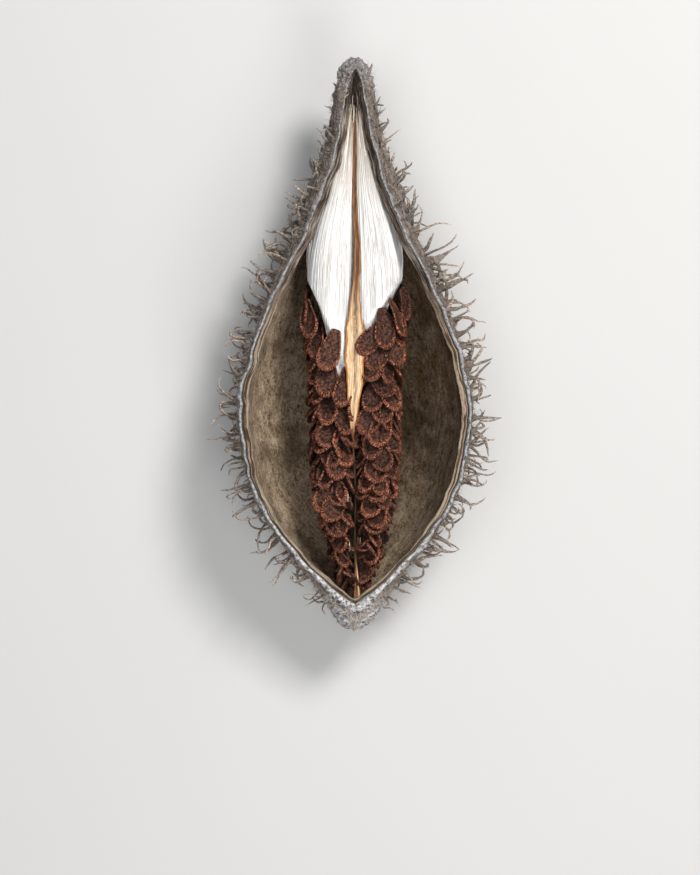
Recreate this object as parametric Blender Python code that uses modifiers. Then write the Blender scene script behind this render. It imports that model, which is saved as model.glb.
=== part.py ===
"""Milkweed seed pod, split open along its seam and lying on its back.

Metres, +Z up.  The pod lies along Y with its pointed tip at +Y, its blunt base
and stalk at -Y, and its open seam facing +Z.  The origin is the centre of the
narrow flat along the keel, on which the pod rests.

Most sizes are given against "d", the distance in millimetres from the blunt end
of the base, so d = 0 is the base and d = POD_LENGTH is the tip.
"""

import math
import random

import bmesh
import bpy
from mathutils import Vector

MM = 0.001

# Driving dimensions, in millimetres
POD_LENGTH = 100.0
ORIGIN_AT = 44.0          # d of the origin, at the middle of the flat
WALL = 1.7                # thickness of the pod wall
WALL_TIP = 1.1            # the wall thins to this at both ends
LIP_OVERHANG = 1.05       # how far the inner lip stands inwards, against the wall's thickness

# (d, radius of the wall's outside)
WALL_RADIUS = (
    (0.0, 0.0), (0.9, 2.1), (2.4, 3.5), (4.6, 4.9), (7.5, 6.8), (12.0, 10.3),
    (17.0, 14.1), (26.0, 18.4), (38.0, 20.4), (51.0, 17.9), (61.5, 14.1),
    (71.0, 10.2), (79.0, 7.4), (84.0, 5.7), (90.5, 3.8), (95.0, 2.8),
    (98.4, 2.0), (99.6, 1.1), (100.0, 0.0),
)
# (d, half the gap between the two lips, outside to outside)
LIP_GAP = (
    (2.6, 0.0), (5.0, 3.0), (7.8, 5.6), (12.0, 9.5), (16.5, 13.2), (20.5, 15.9),
    (25.6, 18.1), (31.7, 19.6), (38.0, 20.2), (45.8, 18.9), (51.0, 17.4),
    (61.7, 12.8), (71.2, 8.1), (77.2, 5.8), (82.0, 4.0), (87.0, 2.7),
    (94.5, 1.4), (98.0, 0.0),
)
# (d, height of the lips)
LIP_HEIGHT = (
    (0.0, 14.4), (0.9, 16.7), (2.4, 18.3), (4.6, 19.5), (8.0, 20.6), (20.0, 23.4),
    (38.0, 24.75), (60.0, 23.8), (80.0, 21.8), (92.0, 20.6), (98.0, 20.4),
    (99.6, 19.8), (100.0, 18.8),
)
# (d, height of the keel); below zero the keel is pressed flat against the ground
KEEL_HEIGHT = (
    (0.0, 14.4), (0.9, 12.2), (2.4, 10.7), (4.6, 9.6), (8.0, 8.2), (12.0, 6.0),
    (17.0, 3.3), (24.0, 0.8), (31.0, -0.5), (38.0, -0.7), (50.0, -0.7), (56.0, -0.3),
    (61.0, 0.8), (70.0, 3.9), (80.0, 7.9), (90.0, 12.6), (95.0, 14.9), (98.4, 16.2),
    (99.6, 17.6), (100.0, 18.8),
)
OUTER_SLIT = (2.6, 98.0)
INNER_SLIT = (5.2, 96.6)
SLIT_ROWS = 26
WALL_COLUMNS = 30
# d of the wall's rows past each end of the slits, on its outside and its inside
BASE_ROWS = [0.0, 0.7, 1.6]
TIP_ROWS = [99.3, 100.0]
INNER_BASE_ROWS = [3.6, 4.3]
INNER_TIP_ROWS = [97.2]

# Seeds and floss: two lobes side by side, each an ellipse in section
# (d, half the width of both lobes together)
MASS_HALF_WIDTH = (
    (6.0, 1.5), (9.4, 3.0), (15.0, 5.4), (23.0, 7.2), (32.0, 8.1), (44.0, 8.35),
    (58.0, 8.2), (64.0, 7.8), (68.0, 7.1), (77.0, 4.4), (83.0, 2.9), (92.0, 1.4),
    (96.0, 0.9),
)
# (d, height of the lobes' middle line)
MASS_HEIGHT = (
    (6.0, 15.8), (16.0, 15.2), (30.0, 14.3), (46.0, 14.2), (62.0, 14.6),
    (76.0, 16.0), (88.0, 17.2), (96.0, 18.0),
)
LOBE_DEPTH_RATIO = 0.93   # half depth of a lobe against half width of the mass
LOBE_CLEAR = 0.5          # from the mid plane to each lobe
LOBE_SQUARE = 0.62        # power that squares a lobe's section towards the mid plane,
LOBE_SQUARE_OUT = 0.78    # and on its outer side

SEED_ROWS = 23
SEED_PITCH = 2.1          # from one row of seeds to the next
SEED_TOP = 60.4           # d of the highest seeds' narrow ends
SEED_WIDTH = 4.7
SEED_LENGTH = 6.6         # along the pod, of a seed low on the lobe's slope
SEED_LENGTH_LOW = 4.9     # of the seeds nearest the base
SEED_THICK = 0.4
SEED_SLOPE = math.radians(21.0)
SEEDS_START = -1.75       # where a row starts, on the crease side, in radians
SEEDS_END = 2.45          # and where it ends, round at the back
SEGMENTS_PER_SEED = 4
BOUNDARY_SLOPE = {"left": 2.0, "right": 1.3}   # how fast the seeds start lower

FLOSS_GAP = 0.8
FLOSS_RANGE = (24.0, 95.6)

# The placenta: a thin web between the lobes with a strip along its front edge
# (d, half the strip's width)
STRIP_HALF_WIDTH = (
    (7.0, 0.3), (34.0, 0.35), (40.0, 1.45), (48.0, 1.7), (54.0, 1.2), (60.0, 0.5),
    (80.0, 0.45), (95.0, 0.4),
)
STRIP_THICK = 0.4
# (d, how far the strip's front stands above the front of the lobes)
STRIP_PROUD = ((7.0, -0.4), (32.0, -1.2), (40.0, 0.2), (54.0, 0.2), (60.0, -0.6), (95.0, -0.3))
WEB_HALF_THICK = 0.15
WEB_DEPTH_RATIO = 0.7     # depth of the web against the half width of the mass
PLACENTA_RANGE = (7.0, 95.0)

STALK_RADIUS = 1.45
# The stalk's route, (d, z, thickness against STALK_RADIUS), from the wall to the cut end
STALK_ROUTE = (
    (3.6, 9.3, 1.35), (2.6, 8.0, 1.12), (1.9, 6.4, 1.0), (1.6, 4.7, 0.96),
    (1.7, 3.1, 1.0), (2.0, 1.9, 1.06),
)

SPINE_SEED = 5
SPINE_SHARE = 0.4         # of the outer faces that grow a spine
SPINE_LENGTH = (3.0, 4.6)
# (share of the length, half width) of each stretch of a spine
SPINE_STEPS = ((0.0, 0.62), (0.55, 0.38), (0.45, 0.13))
SPINE_TIP_CLEAR = 0.8     # a spine bends so that its tip stays this far off the ground
SPINE_RANGE = (8.0, 93.0)
SPINE_LOWEST = 4.5        # height of the lowest face that grows one
SPINE_AXIS_HEIGHT = 18.0  # the wall curves round about this height
SPINE_MOST_UPWARD = 0.62  # z of the most upward normal, so that the lips stay bare
SPINE_LEAST_AREA = 3.0


def smooth(table, at):
    """Cubic curve through a table of (position, value), flat past its ends."""
    if at <= table[0][0]:
        return table[0][1]
    if at >= table[-1][0]:
        return table[-1][1]
    i = max(k for k in range(len(table) - 1) if table[k][0] <= at)
    (x0, y0), (x1, y1) = table[i], table[i + 1]
    run = x1 - x0
    rise = (y1 - y0) / run

    def tangent(k):
        if k == 0 or k == len(table) - 1:
            return rise
        before = (table[k][1] - table[k - 1][1]) / (table[k][0] - table[k - 1][0])
        after = (table[k + 1][1] - table[k][1]) / (table[k + 1][0] - table[k][0])
        if before * after <= 0:
            return 0.0
        return 2 * before * after / (before + after)

    t = (at - x0) / run
    m0 = tangent(i) * run
    m1 = tangent(i + 1) * run
    return ((2 * t**3 - 3 * t**2 + 1) * y0 + (t**3 - 2 * t**2 + t) * m0
            + (3 * t**2 - 2 * t**3) * y1 + (t**3 - t**2) * m1)


def row_y(d):
    """Y in millimetres of a distance from the base."""
    return d - ORIGIN_AT


def material(name, colour, roughness):
    made = bpy.data.materials.new(name)
    made.use_nodes = True
    shader = made.node_tree.nodes["Principled BSDF"]
    shader.inputs["Base Color"].default_value = (*colour, 1.0)
    shader.inputs["Roughness"].default_value = roughness
    shader.inputs["Metallic"].default_value = 0.0
    return made


def finish(bm, name, collection, finish_material):
    """Turn a bmesh in millimetres into a named object in metres."""
    bmesh.ops.scale(bm, vec=(MM, MM, MM), verts=bm.verts)
    mesh = bpy.data.meshes.new(name)
    bm.to_mesh(mesh)
    bm.free()
    mesh.shade_smooth()
    mesh.set_sharp_from_angle(angle=math.radians(35))
    mesh.materials.append(finish_material)
    made = bpy.data.objects.new(name, mesh)
    collection.objects.link(made)
    return made


# --- the pod wall -----------------------------------------------------------

def wall_point(across, d, thickness):
    """A point of the wall: across is -1 and 1 at the lips and 0 at the keel."""
    half_width = max(smooth(WALL_RADIUS, d), 0.001)
    gap = smooth(LIP_GAP, d) if OUTER_SLIT[0] < d < OUTER_SLIT[1] else 0.0
    lip = math.pi - math.asin(min(gap / half_width, 0.995))
    top = smooth(LIP_HEIGHT, d)
    half_depth = (top - smooth(KEEL_HEIGHT, d)) / (1 - math.cos(lip))
    centre = top + half_depth * math.cos(lip)
    if thickness:
        half_width -= thickness
        half_depth -= thickness
        slit = INNER_SLIT[0] < d < INNER_SLIT[1]
        inside_gap = max(gap - thickness * LIP_OVERHANG, 0.0) if slit else 0.0
        lip = math.pi - math.asin(min(inside_gap / half_width, 0.998))
    angle = lip * across
    height = centre - half_depth * math.cos(angle)
    return Vector((half_width * math.sin(angle), row_y(d), max(height, thickness)))


def wall_sheet(bm, rows_d, thickness_at):
    """One skin of the wall: a grid wrapped round, its lips joined where it isn't slit."""
    made = bmesh.ops.create_grid(
        bm, x_segments=WALL_COLUMNS, y_segments=len(rows_d) - 1, size=0.5)
    for vert in made["verts"]:
        across = 2 * vert.co.x
        row = round((vert.co.y + 0.5) * (len(rows_d) - 1))
        d = rows_d[row]
        vert.co = wall_point(across, d, thickness_at(d))
        if row in (0, len(rows_d) - 1):
            vert.co = wall_point(1.0, d, thickness_at(d))
    bmesh.ops.remove_doubles(bm, verts=made["verts"], dist=1e-4)


def slit_rows(start, end):
    """Rows along a slit, closer together towards its two ends."""
    return [start + (end - start) * 0.5 * (1 - math.cos(math.pi * k / SLIT_ROWS))
            for k in range(SLIT_ROWS + 1)]


def thickness_inside(d):
    """Wall thickness, thinning at the tip and the base."""
    outer = smooth(WALL_RADIUS, d)
    return min(WALL, max(WALL_TIP, outer * 0.4), outer - 0.3)


def can_grow_spine(face):
    """Whether a face is on the wall's outside, big enough, and clear of the ground and lips."""
    centre = face.calc_center_median()
    outwards = Vector((centre.x, 0, centre.z - SPINE_AXIS_HEIGHT))
    return (SPINE_RANGE[0] < centre.y + ORIGIN_AT < SPINE_RANGE[1]
            and centre.z > SPINE_LOWEST
            and face.normal.z < SPINE_MOST_UPWARD
            and face.normal.dot(outwards) > 0
            and face.calc_area() > SPINE_LEAST_AREA)


def grow_spines(bm, chooser):
    """Raise a soft curved spine from some of the outer faces."""
    hosts = [face for face in bm.faces if can_grow_spine(face)]
    for face in [host for host in hosts if chooser.random() < SPINE_SHARE]:
        to_tip = SPINE_RANGE[1] - face.calc_center_median().y - ORIGIN_AT
        length = chooser.uniform(*SPINE_LENGTH) * min(1.0, 0.45 + to_tip / 40)
        lean = Vector((0, chooser.uniform(0.1, 0.6), chooser.uniform(-0.1, 0.5)))
        step = face.normal.copy()
        lowest = (SPINE_TIP_CLEAR - face.calc_center_median().z) / length
        step.z = max(step.z, lowest)
        step.normalize()
        for part, half_width in SPINE_STEPS:
            face = bmesh.ops.extrude_discrete_faces(bm, faces=[face])["faces"][0]
            centre = face.calc_center_median()
            reach = max((vert.co - centre).length for vert in face.verts)
            for vert in face.verts:
                inwards = (vert.co - centre) * half_width / reach
                vert.co = centre + inwards + step * length * part
            step = (step + lean * 0.5).normalized()


def pod_wall(collection, finish_material):
    bm = bmesh.new()
    outer_rows = BASE_ROWS + slit_rows(*OUTER_SLIT) + TIP_ROWS
    wall_sheet(bm, outer_rows, lambda d: 0.0)
    inner_rows = INNER_BASE_ROWS + slit_rows(*INNER_SLIT) + INNER_TIP_ROWS
    wall_sheet(bm, inner_rows, thickness_inside)
    lips = [edge for edge in bm.edges if edge.is_boundary]
    bmesh.ops.bridge_loops(bm, edges=lips)
    bmesh.ops.recalc_face_normals(bm, faces=bm.faces)
    grow_spines(bm, random.Random(SPINE_SEED))
    return finish(bm, "pod_wall", collection, finish_material)


# --- the two lobes of seeds and floss ---------------------------------------

def lobe_section(d):
    """(middle x, middle z, half width, half depth) of the right lobe."""
    mass = smooth(MASS_HALF_WIDTH, d)
    half = (mass - LOBE_CLEAR) / 2
    return half + LOBE_CLEAR, smooth(MASS_HEIGHT, d), half, mass * LOBE_DEPTH_RATIO


def lobe_direction(angle):
    """Unit x and z of a lobe's section: an ellipse, squared on both sides."""
    across, up = math.sin(angle), math.cos(angle)
    power = LOBE_SQUARE if across < 0 else LOBE_SQUARE_OUT
    return (math.copysign(abs(across) ** power, across),
            math.copysign(abs(up) ** power, up))


def lobe_point(side, angle, d, offset):
    """Point at an angle from straight up, turning outwards, off the lobe's surface."""
    middle, height, half, deep = lobe_section(d)
    across, up = lobe_direction(angle)
    x = middle + max(half + offset, 0.05) * across
    z = height + max(deep + offset, 0.05) * up
    return Vector((side * x, row_y(d), z))


def arc_angles(d, start, lengths):
    """Angles round the lobe's section at these arc lengths from a start angle."""
    step = 0.01
    angles = []
    angle, run = start, 0.0
    here = lobe_point(1, angle, d, 0.0)
    for wanted in lengths:
        while run < wanted:
            angle += step
            there = lobe_point(1, angle, d, 0.0)
            run += (there - here).length
            here = there
        angles.append(angle)
    return angles


def seeds_begin(side_name, angle, d):
    """d below which seeds cover the lobe at this angle."""
    if angle > math.pi / 2:
        return SEED_TOP
    _, _, half, _ = lobe_section(d)
    inwards = half - half * lobe_direction(angle)[0]
    return SEED_TOP - BOUNDARY_SLOPE[side_name] * inwards


def seed_row(side_name, number, collection, finish_material):
    """One row of seeds round a lobe, joined edge to edge, like one row of shingles."""
    side = -1 if side_name == "left" else 1
    top = SEED_TOP - number * SEED_PITCH
    share = min(1.0, max(0.0, (30.0 - top) / 16.0))
    length = SEED_LENGTH + (SEED_LENGTH_LOW - SEED_LENGTH) * share
    at = top - length * 0.5
    shift = 0.5 * SEED_WIDTH * ((number + 1) % 2)
    whole = arc_angles(at, SEEDS_START, [shift + k * SEED_WIDTH for k in range(9)])
    fits = [k for k in range(len(whole) - 1)
            if whole[k + 1] < SEEDS_END
            and seeds_begin(side_name, (whole[k] + whole[k + 1]) / 2, at) >= top - 0.2]
    first, count = fits[0], len(fits)
    columns = count * SEGMENTS_PER_SEED
    lengths = [shift + (first + k / SEGMENTS_PER_SEED) * SEED_WIDTH
               for k in range(columns + 1)]
    angles = arc_angles(at, SEEDS_START, lengths)
    rise = length * math.tan(SEED_SLOPE)
    bm = bmesh.new()
    made = bmesh.ops.create_grid(bm, x_segments=columns, y_segments=1, size=0.5)
    for vert in made["verts"]:
        column = round((vert.co.x + 0.5) * columns)
        across = 2 * (column % SEGMENTS_PER_SEED) / SEGMENTS_PER_SEED - 1
        round_end = 0.68 + 0.32 * math.sqrt(1 - across * across)
        down = round_end if vert.co.y < 0 else 0.0
        d = top - length * down
        vert.co = lobe_point(side, angles[column], d, -rise * (1 - down))
    bmesh.ops.recalc_face_normals(bm, faces=bm.faces)
    name = f"seed_row_{side_name}_{number + 1:02d}"
    row = finish(bm, name, collection, finish_material)
    thicken = row.modifiers.new("thickness", "SOLIDIFY")
    thicken.thickness = SEED_THICK * MM
    thicken.offset = 0.0
    return row


def tube(around, rows):
    """A closed cylinder from z = -1 to z = 1, cut into rows, for a shape to be drawn on."""
    bm = bmesh.new()
    bmesh.ops.create_cone(bm, cap_ends=True, segments=around, radius1=1, radius2=1, depth=2)
    long_edges = [edge for edge in bm.edges
                  if abs(edge.verts[0].co.z - edge.verts[1].co.z) > 1]
    bmesh.ops.subdivide_edges(bm, edges=long_edges, cuts=rows - 1)
    return bm


def floss(side_name, collection, finish_material):
    """One half of the silky floss: full above the seeds, and their core below."""
    side = -1 if side_name == "left" else 1
    bm = tube(around=20, rows=26)
    low, high = FLOSS_RANGE
    deepest = SEED_LENGTH * math.tan(SEED_SLOPE) + SEED_THICK + FLOSS_GAP
    for vert in bm.verts:
        d = low + (high - low) * (vert.co.z + 1) / 2
        angle = math.atan2(vert.co.x, vert.co.y)
        boundary = seeds_begin(side_name, angle if angle > -2.4 else math.pi, d)
        under = min(1.0, max(0.0, (boundary + 7.5 - d) / 4.0))
        under = under * under * (3 - 2 * under)
        vert.co = lobe_point(side, angle, d, -deepest * under)
    bmesh.ops.recalc_face_normals(bm, faces=bm.faces)
    return finish(bm, f"floss_{side_name}", collection, finish_material)


# --- placenta and stalk -----------------------------------------------------

def front_height(d):
    """Height of the front of the lobes."""
    _, height, _, deep = lobe_section(d)
    return height + deep


def placenta(collection, finish_material):
    """A strip along the front between the lobes, on a thin web that runs in behind it."""
    low, high = PLACENTA_RANGE
    bm = tube(around=8, rows=24)
    for vert in bm.verts:
        d = low + (high - low) * (vert.co.z + 1) / 2
        wide = smooth(STRIP_HALF_WIDTH, d)
        top = front_height(d) + smooth(STRIP_PROUD, d)
        under = top - STRIP_THICK
        foot = under - smooth(MASS_HALF_WIDTH, d) * WEB_DEPTH_RATIO
        right = [(wide, top), (wide, under), (WEB_HALF_THICK, under), (WEB_HALF_THICK, foot)]
        outline = right + [(-x, z) for x, z in reversed(right)]
        corner = round(math.atan2(vert.co.x, vert.co.y) / math.radians(45)) % 8
        x, z = outline[corner]
        vert.co = Vector((x, row_y(d), z))
    bmesh.ops.recalc_face_normals(bm, faces=bm.faces)
    return finish(bm, "placenta", collection, finish_material)


def stalk(collection, finish_material):
    """The short stalk under the base, recurved and cut off."""
    route = bpy.data.curves.new("stalk", "CURVE")
    route.dimensions = "3D"
    route.bevel_depth = STALK_RADIUS * MM
    route.bevel_resolution = 2
    route.use_fill_caps = True
    spline = route.splines.new("POLY")
    spline.points.add(len(STALK_ROUTE) - 1)
    for point, (d, z, size) in zip(spline.points, STALK_ROUTE):
        point.co = (0, row_y(d) * MM, z * MM, 1)
        point.radius = size
    made = bpy.data.objects.new("stalk", route)
    route.materials.append(finish_material)
    collection.objects.link(made)
    return made


def main():
    for old in list(bpy.data.objects):
        bpy.data.objects.remove(old, do_unlink=True)
    pod = bpy.data.collections.new("milkweed_seed_pod")
    bpy.context.scene.collection.children.link(pod)
    felt = material("felted_skin", (0.24, 0.20, 0.17), 0.95)
    seed_coat = material("seed_coat", (0.16, 0.055, 0.035), 0.7)
    silk = material("silk", (0.88, 0.86, 0.82), 0.45)
    membrane = material("membrane", (0.55, 0.44, 0.30), 0.8)
    pod_wall(pod, felt)
    stalk(pod, felt)
    placenta(pod, membrane)
    for side_name in ("left", "right"):
        floss(side_name, pod, silk)
        for number in range(SEED_ROWS):
            seed_row(side_name, number, pod, seed_coat)


main()
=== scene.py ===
"""Looks of a milkweed seed pod, dried and split open, that lies on its back.

Shapes are worked out in millimetres against a pod 100 mm long, as points (x, d, z): x runs
across the pod, d is the distance from the blunt base towards the tip, and z is the height over
the ground.  A Ruler, taken from the frame, turns them into the frame's metres at the end.
"""
import enum
import logging
import math
import random
from dataclasses import dataclass, field

import bmesh
import bpy
import numpy as np
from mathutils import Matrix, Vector, noise


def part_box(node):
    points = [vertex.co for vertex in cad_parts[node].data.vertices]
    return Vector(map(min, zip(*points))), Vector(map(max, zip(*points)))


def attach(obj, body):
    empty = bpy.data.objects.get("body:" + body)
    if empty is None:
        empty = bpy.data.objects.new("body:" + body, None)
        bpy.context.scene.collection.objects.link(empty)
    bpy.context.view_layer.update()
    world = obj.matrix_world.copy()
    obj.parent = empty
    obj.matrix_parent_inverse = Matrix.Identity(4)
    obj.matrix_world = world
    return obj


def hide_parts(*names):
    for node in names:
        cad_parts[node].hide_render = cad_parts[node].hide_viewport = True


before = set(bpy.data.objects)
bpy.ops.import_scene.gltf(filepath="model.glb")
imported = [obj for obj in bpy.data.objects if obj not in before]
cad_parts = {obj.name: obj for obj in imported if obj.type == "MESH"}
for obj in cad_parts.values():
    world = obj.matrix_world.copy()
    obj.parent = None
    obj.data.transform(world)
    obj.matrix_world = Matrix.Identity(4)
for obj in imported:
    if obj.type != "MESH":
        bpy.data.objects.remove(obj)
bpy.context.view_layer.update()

log = logging.getLogger("milkweed_pod")

Colour = tuple[float, float, float]
Table = tuple[tuple[float, float], ...]

BODY = "root"
POD_LENGTH = 100.0


class Side(enum.Enum):
    """The two halves of the pod's contents, seen from above with the tip away."""

    LEFT = -1
    RIGHT = 1

    @property
    def word(self) -> str:
        """The side's name, as it stands in node names."""
        return self.name.lower()


class Skin(enum.Enum):
    """The two skins of the husk."""

    OUTER = 0.0
    INNER = 1.0


# --- measuring --------------------------------------------------------------------------------


@dataclass(frozen=True)
class Ruler:
    """Turns pod millimetres into the frame's metres.

    Attributes:
        base_y: Y of the pod's base in the frame.
        metre: Metres of the frame to one pod millimetre.
    """

    base_y: float
    metre: float

    @classmethod
    def from_frame(cls) -> "Ruler":
        """Take the ruler from the husk's box in the frame."""
        low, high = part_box("pod_wall")
        return cls(low.y, (high.y - low.y) / POD_LENGTH)

    def place(self, mesh: bpy.types.Mesh) -> None:
        """Move a mesh from pod millimetres to the frame's metres.

        Args:
            mesh: The mesh to move.
        """
        points = read_points(mesh) * self.metre
        points[:, 1] += self.base_y
        write_points(mesh, points)


@dataclass(frozen=True)
class Profile:
    """A smooth curve through (place, value) points, flat beyond its ends."""

    table: Table
    samples: int = 1501
    _places: list[np.ndarray] = field(default_factory=list, compare=False)

    def at(self, place: np.ndarray | float) -> np.ndarray:
        """Read the curve.

        Args:
            place: One place or an array of them.

        Returns:
            The values there.
        """
        if not self._places:
            self._places.extend(self._sampled())
        return np.interp(place, self._places[0], self._places[1])

    def _sampled(self) -> tuple[np.ndarray, np.ndarray]:
        """Work the curve out, with slopes that never carry it past its points.

        Returns:
            The places and the values of many short straight runs.
        """
        x = np.array([point[0] for point in self.table])
        y = np.array([point[1] for point in self.table])
        run = np.diff(x)
        rise = np.diff(y) / run
        slope = np.zeros_like(x)
        slope[0], slope[-1] = rise[0], rise[-1]
        before, after = rise[:-1], rise[1:]
        total = np.where(before * after > 0, before + after, 1.0)
        slope[1:-1] = np.where(before * after > 0, 2 * before * after / total, 0.0)
        place = np.linspace(x[0], x[-1], self.samples)
        k = np.clip(np.searchsorted(x, place, side="right") - 1, 0, len(run) - 1)
        t = (place - x[k]) / run[k]
        value = ((2 * t**3 - 3 * t**2 + 1) * y[k] + (t**3 - 2 * t**2 + t) * slope[k] * run[k]
                 + (3 * t**2 - 2 * t**3) * y[k + 1] + (t**3 - t**2) * slope[k + 1] * run[k])
        return place, value


def ease(low: float, high: float, value: np.ndarray | float) -> np.ndarray:
    """A soft step from 0 at low to 1 at high."""
    t = np.clip((np.asarray(value, float) - low) / (high - low), 0.0, 1.0)
    return t * t * (3 - 2 * t)


def unit_rows(vectors: np.ndarray) -> np.ndarray:
    """Each row of vectors, scaled to length 1."""
    return vectors / np.maximum(np.linalg.norm(vectors, axis=-1, keepdims=True), 1e-9)


def lumps(points: np.ndarray, size: float, octaves: int = 2, shift: float = 0.0) -> np.ndarray:
    """Soft random lumps.

    Args:
        points: The places, one row each.
        size: The size of a lump, in the unit of the places.
        octaves: How many finer layers are added.
        shift: Moves the pattern, so that two uses differ.

    Returns:
        Values of about -1 to 1.
    """
    scaled = points / size + shift
    return np.array([noise.fractal(Vector(p), 1.0, 2.0, octaves) for p in scaled])


def read_points(mesh: bpy.types.Mesh) -> np.ndarray:
    """Read a mesh's points.

    Args:
        mesh: The mesh.

    Returns:
        The points, one row each.
    """
    points = np.empty(len(mesh.vertices) * 3, np.float32)
    mesh.vertices.foreach_get("co", points)
    return points.reshape(-1, 3).astype(float)


def write_points(mesh: bpy.types.Mesh, points: np.ndarray) -> None:
    """Set a mesh's points from one row each."""
    mesh.vertices.foreach_set("co", points.astype(np.float32).ravel())
    mesh.update()


def write_values(mesh: bpy.types.Mesh, name: str, values: np.ndarray) -> None:
    """Keep one number for each of a mesh's points, for its material to read."""
    kept = mesh.attributes.get(name) or mesh.attributes.new(name, "FLOAT", "POINT")
    kept.data.foreach_set("value", np.asarray(values, np.float32).ravel())


def read_values(mesh: bpy.types.Mesh, name: str) -> np.ndarray:
    """Read the numbers that write_values kept.

    Args:
        mesh: The mesh.
        name: The name they are kept under.

    Returns:
        The numbers, one for each point.
    """
    values = np.empty(len(mesh.vertices), np.float32)
    mesh.attributes[name].data.foreach_get("value", values)
    return values.astype(float)


# --- the node sheets of the materials ---------------------------------------------------------


class Sheet:
    """A material's node tree, with short ways to add the nodes used here."""

    def __init__(self, name: str, roughness: float, specular: float = 0.25) -> None:
        """Start a material with a Principled shader.

        Args:
            name: The material's name.
            roughness: The shader's roughness.
            specular: Its specular level.
        """
        self.material = bpy.data.materials.new(name)
        self.material.use_nodes = True
        self.tree = self.material.node_tree
        self.shader = self.tree.nodes["Principled BSDF"]
        self.shader.inputs["Roughness"].default_value = roughness
        self.shader.inputs["Specular IOR Level"].default_value = specular

    def add(self, kind: str, inputs: dict[str | int, object] | None = None,
            **settings: object) -> bpy.types.Node:
        """Add a node.

        Args:
            kind: The node's type.
            inputs: What goes into it: a socket is linked, and anything else is a value.
            settings: The node's own settings.

        Returns:
            The node.
        """
        node = self.tree.nodes.new(kind)
        for name, value in settings.items():
            setattr(node, name, value)
        for key, value in (inputs or {}).items():
            if isinstance(value, bpy.types.NodeSocket):
                self.tree.links.new(value, node.inputs[key])
            else:
                node.inputs[key].default_value = value
        return node

    def value(self, name: str) -> bpy.types.NodeSocket:
        """A number kept on the mesh under this name."""
        return self.add("ShaderNodeAttribute", attribute_name=name).outputs["Fac"]

    def place(self, scale: tuple[float, float, float] = (1.0, 1.0, 1.0)) -> bpy.types.NodeSocket:
        """Object coordinates in millimetres.

        Args:
            scale: How much finer a pattern runs along each axis.

        Returns:
            The coordinates.
        """
        spot = self.add("ShaderNodeTexCoord").outputs["Object"]
        metres = tuple(1000.0 * part for part in scale)
        return self.add("ShaderNodeMapping", {"Vector": spot, "Scale": metres}).outputs["Vector"]

    def surface(self, across: float, along: float) -> bpy.types.NodeSocket:
        """Coordinates that follow the surface, from "around", "along" and "turn".

        Args:
            across: Scale of the distance round the piece.
            along: Scale of the distance along it.

        Returns:
            The coordinates.
        """
        around = self.product(self.value("around"), across)
        run = self.product(self.value("along"), along)
        return self.add("ShaderNodeCombineXYZ", {
            "X": around, "Y": run, "Z": self.value("turn")}).outputs["Vector"]

    def math(self, operation: str, first: object, second: object = 0.0
             ) -> bpy.types.NodeSocket:
        """The result of an operation on one or two numbers."""
        return self.add("ShaderNodeMath", {0: first, 1: second},
                        operation=operation).outputs["Value"]

    def product(self, first: object, second: object) -> bpy.types.NodeSocket:
        """Two numbers multiplied."""
        return self.math("MULTIPLY", first, second)

    def weighted(self, *parts: tuple[bpy.types.NodeSocket, float]) -> bpy.types.NodeSocket:
        """Add numbers up, each times its weight.

        Args:
            parts: The numbers, each with its weight.

        Returns:
            The sum.
        """
        shares = [self.product(value, weight) for value, weight in parts]
        total = shares.pop()
        while shares:
            total = self.math("ADD", shares.pop(), total)
        return total

    def noise(self, vector: bpy.types.NodeSocket, scale: float, detail: float = 3.0,
              roughness: float = 0.55) -> bpy.types.NodeSocket:
        """Soft noise of about 0 to 1."""
        return self.add("ShaderNodeTexNoise", {
            "Vector": vector, "Scale": scale, "Detail": detail, "Roughness": roughness,
        }).outputs["Fac"]

    def cells(self, vector: bpy.types.NodeSocket, scale: float) -> bpy.types.NodeSocket:
        """Distance to the nearest of scattered points."""
        return self.add("ShaderNodeTexVoronoi", {"Vector": vector, "Scale": scale}
                        ).outputs["Distance"]

    def step(self, value: bpy.types.NodeSocket, low: float, high: float) -> bpy.types.NodeSocket:
        """A soft step of a number from 0 at low to 1 at high."""
        return self.add("ShaderNodeMapRange", {
            "Value": value, "From Min": low, "From Max": high,
        }, interpolation_type="SMOOTHSTEP").outputs["Result"]

    def ramp(self, factor: bpy.types.NodeSocket,
             stops: tuple[tuple[float, Colour], ...]) -> bpy.types.NodeSocket:
        """Colours in order along a number.

        Args:
            factor: The number.
            stops: Each colour with the number at which it stands.

        Returns:
            The colour.
        """
        node = self.add("ShaderNodeValToRGB", {"Fac": factor})
        points = node.color_ramp.elements
        while len(points) < len(stops):
            points.new(1.0)
        for point, (place, colour) in zip(points, stops):
            point.position = place
            point.color = (*colour, 1.0)
        return node.outputs["Color"]

    def mix(self, factor: object, first: object, second: object,
            blend: str = "MIX") -> bpy.types.NodeSocket:
        """Mix two colours.

        Args:
            factor: 0 for the first colour and 1 for the second.
            first: A colour or a socket.
            second: Another.
            blend: The way they are mixed.

        Returns:
            The colour.
        """
        colours = [(*part, 1.0) if isinstance(part, tuple) else part for part in (first, second)]
        return self.add("ShaderNodeMix", {0: factor, 6: colours[0], 7: colours[1]},
                        data_type="RGBA", blend_type=blend).outputs[2]

    def bumps(self, height: bpy.types.NodeSocket, millimetres: float,
              strength: float = 1.0) -> None:
        """Raise the surface, over any bumps already there.

        Args:
            height: The height, from 0 to 1.
            millimetres: What a height of 1 stands for.
            strength: How much of it shows.
        """
        node = self.add("ShaderNodeBump", {
            "Height": height, "Distance": millimetres * 0.001, "Strength": strength})
        normal = self.shader.inputs["Normal"]
        if normal.is_linked:
            self.tree.links.new(normal.links[0].from_socket, node.inputs["Normal"])
        self.tree.links.new(node.outputs["Normal"], normal)

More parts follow.
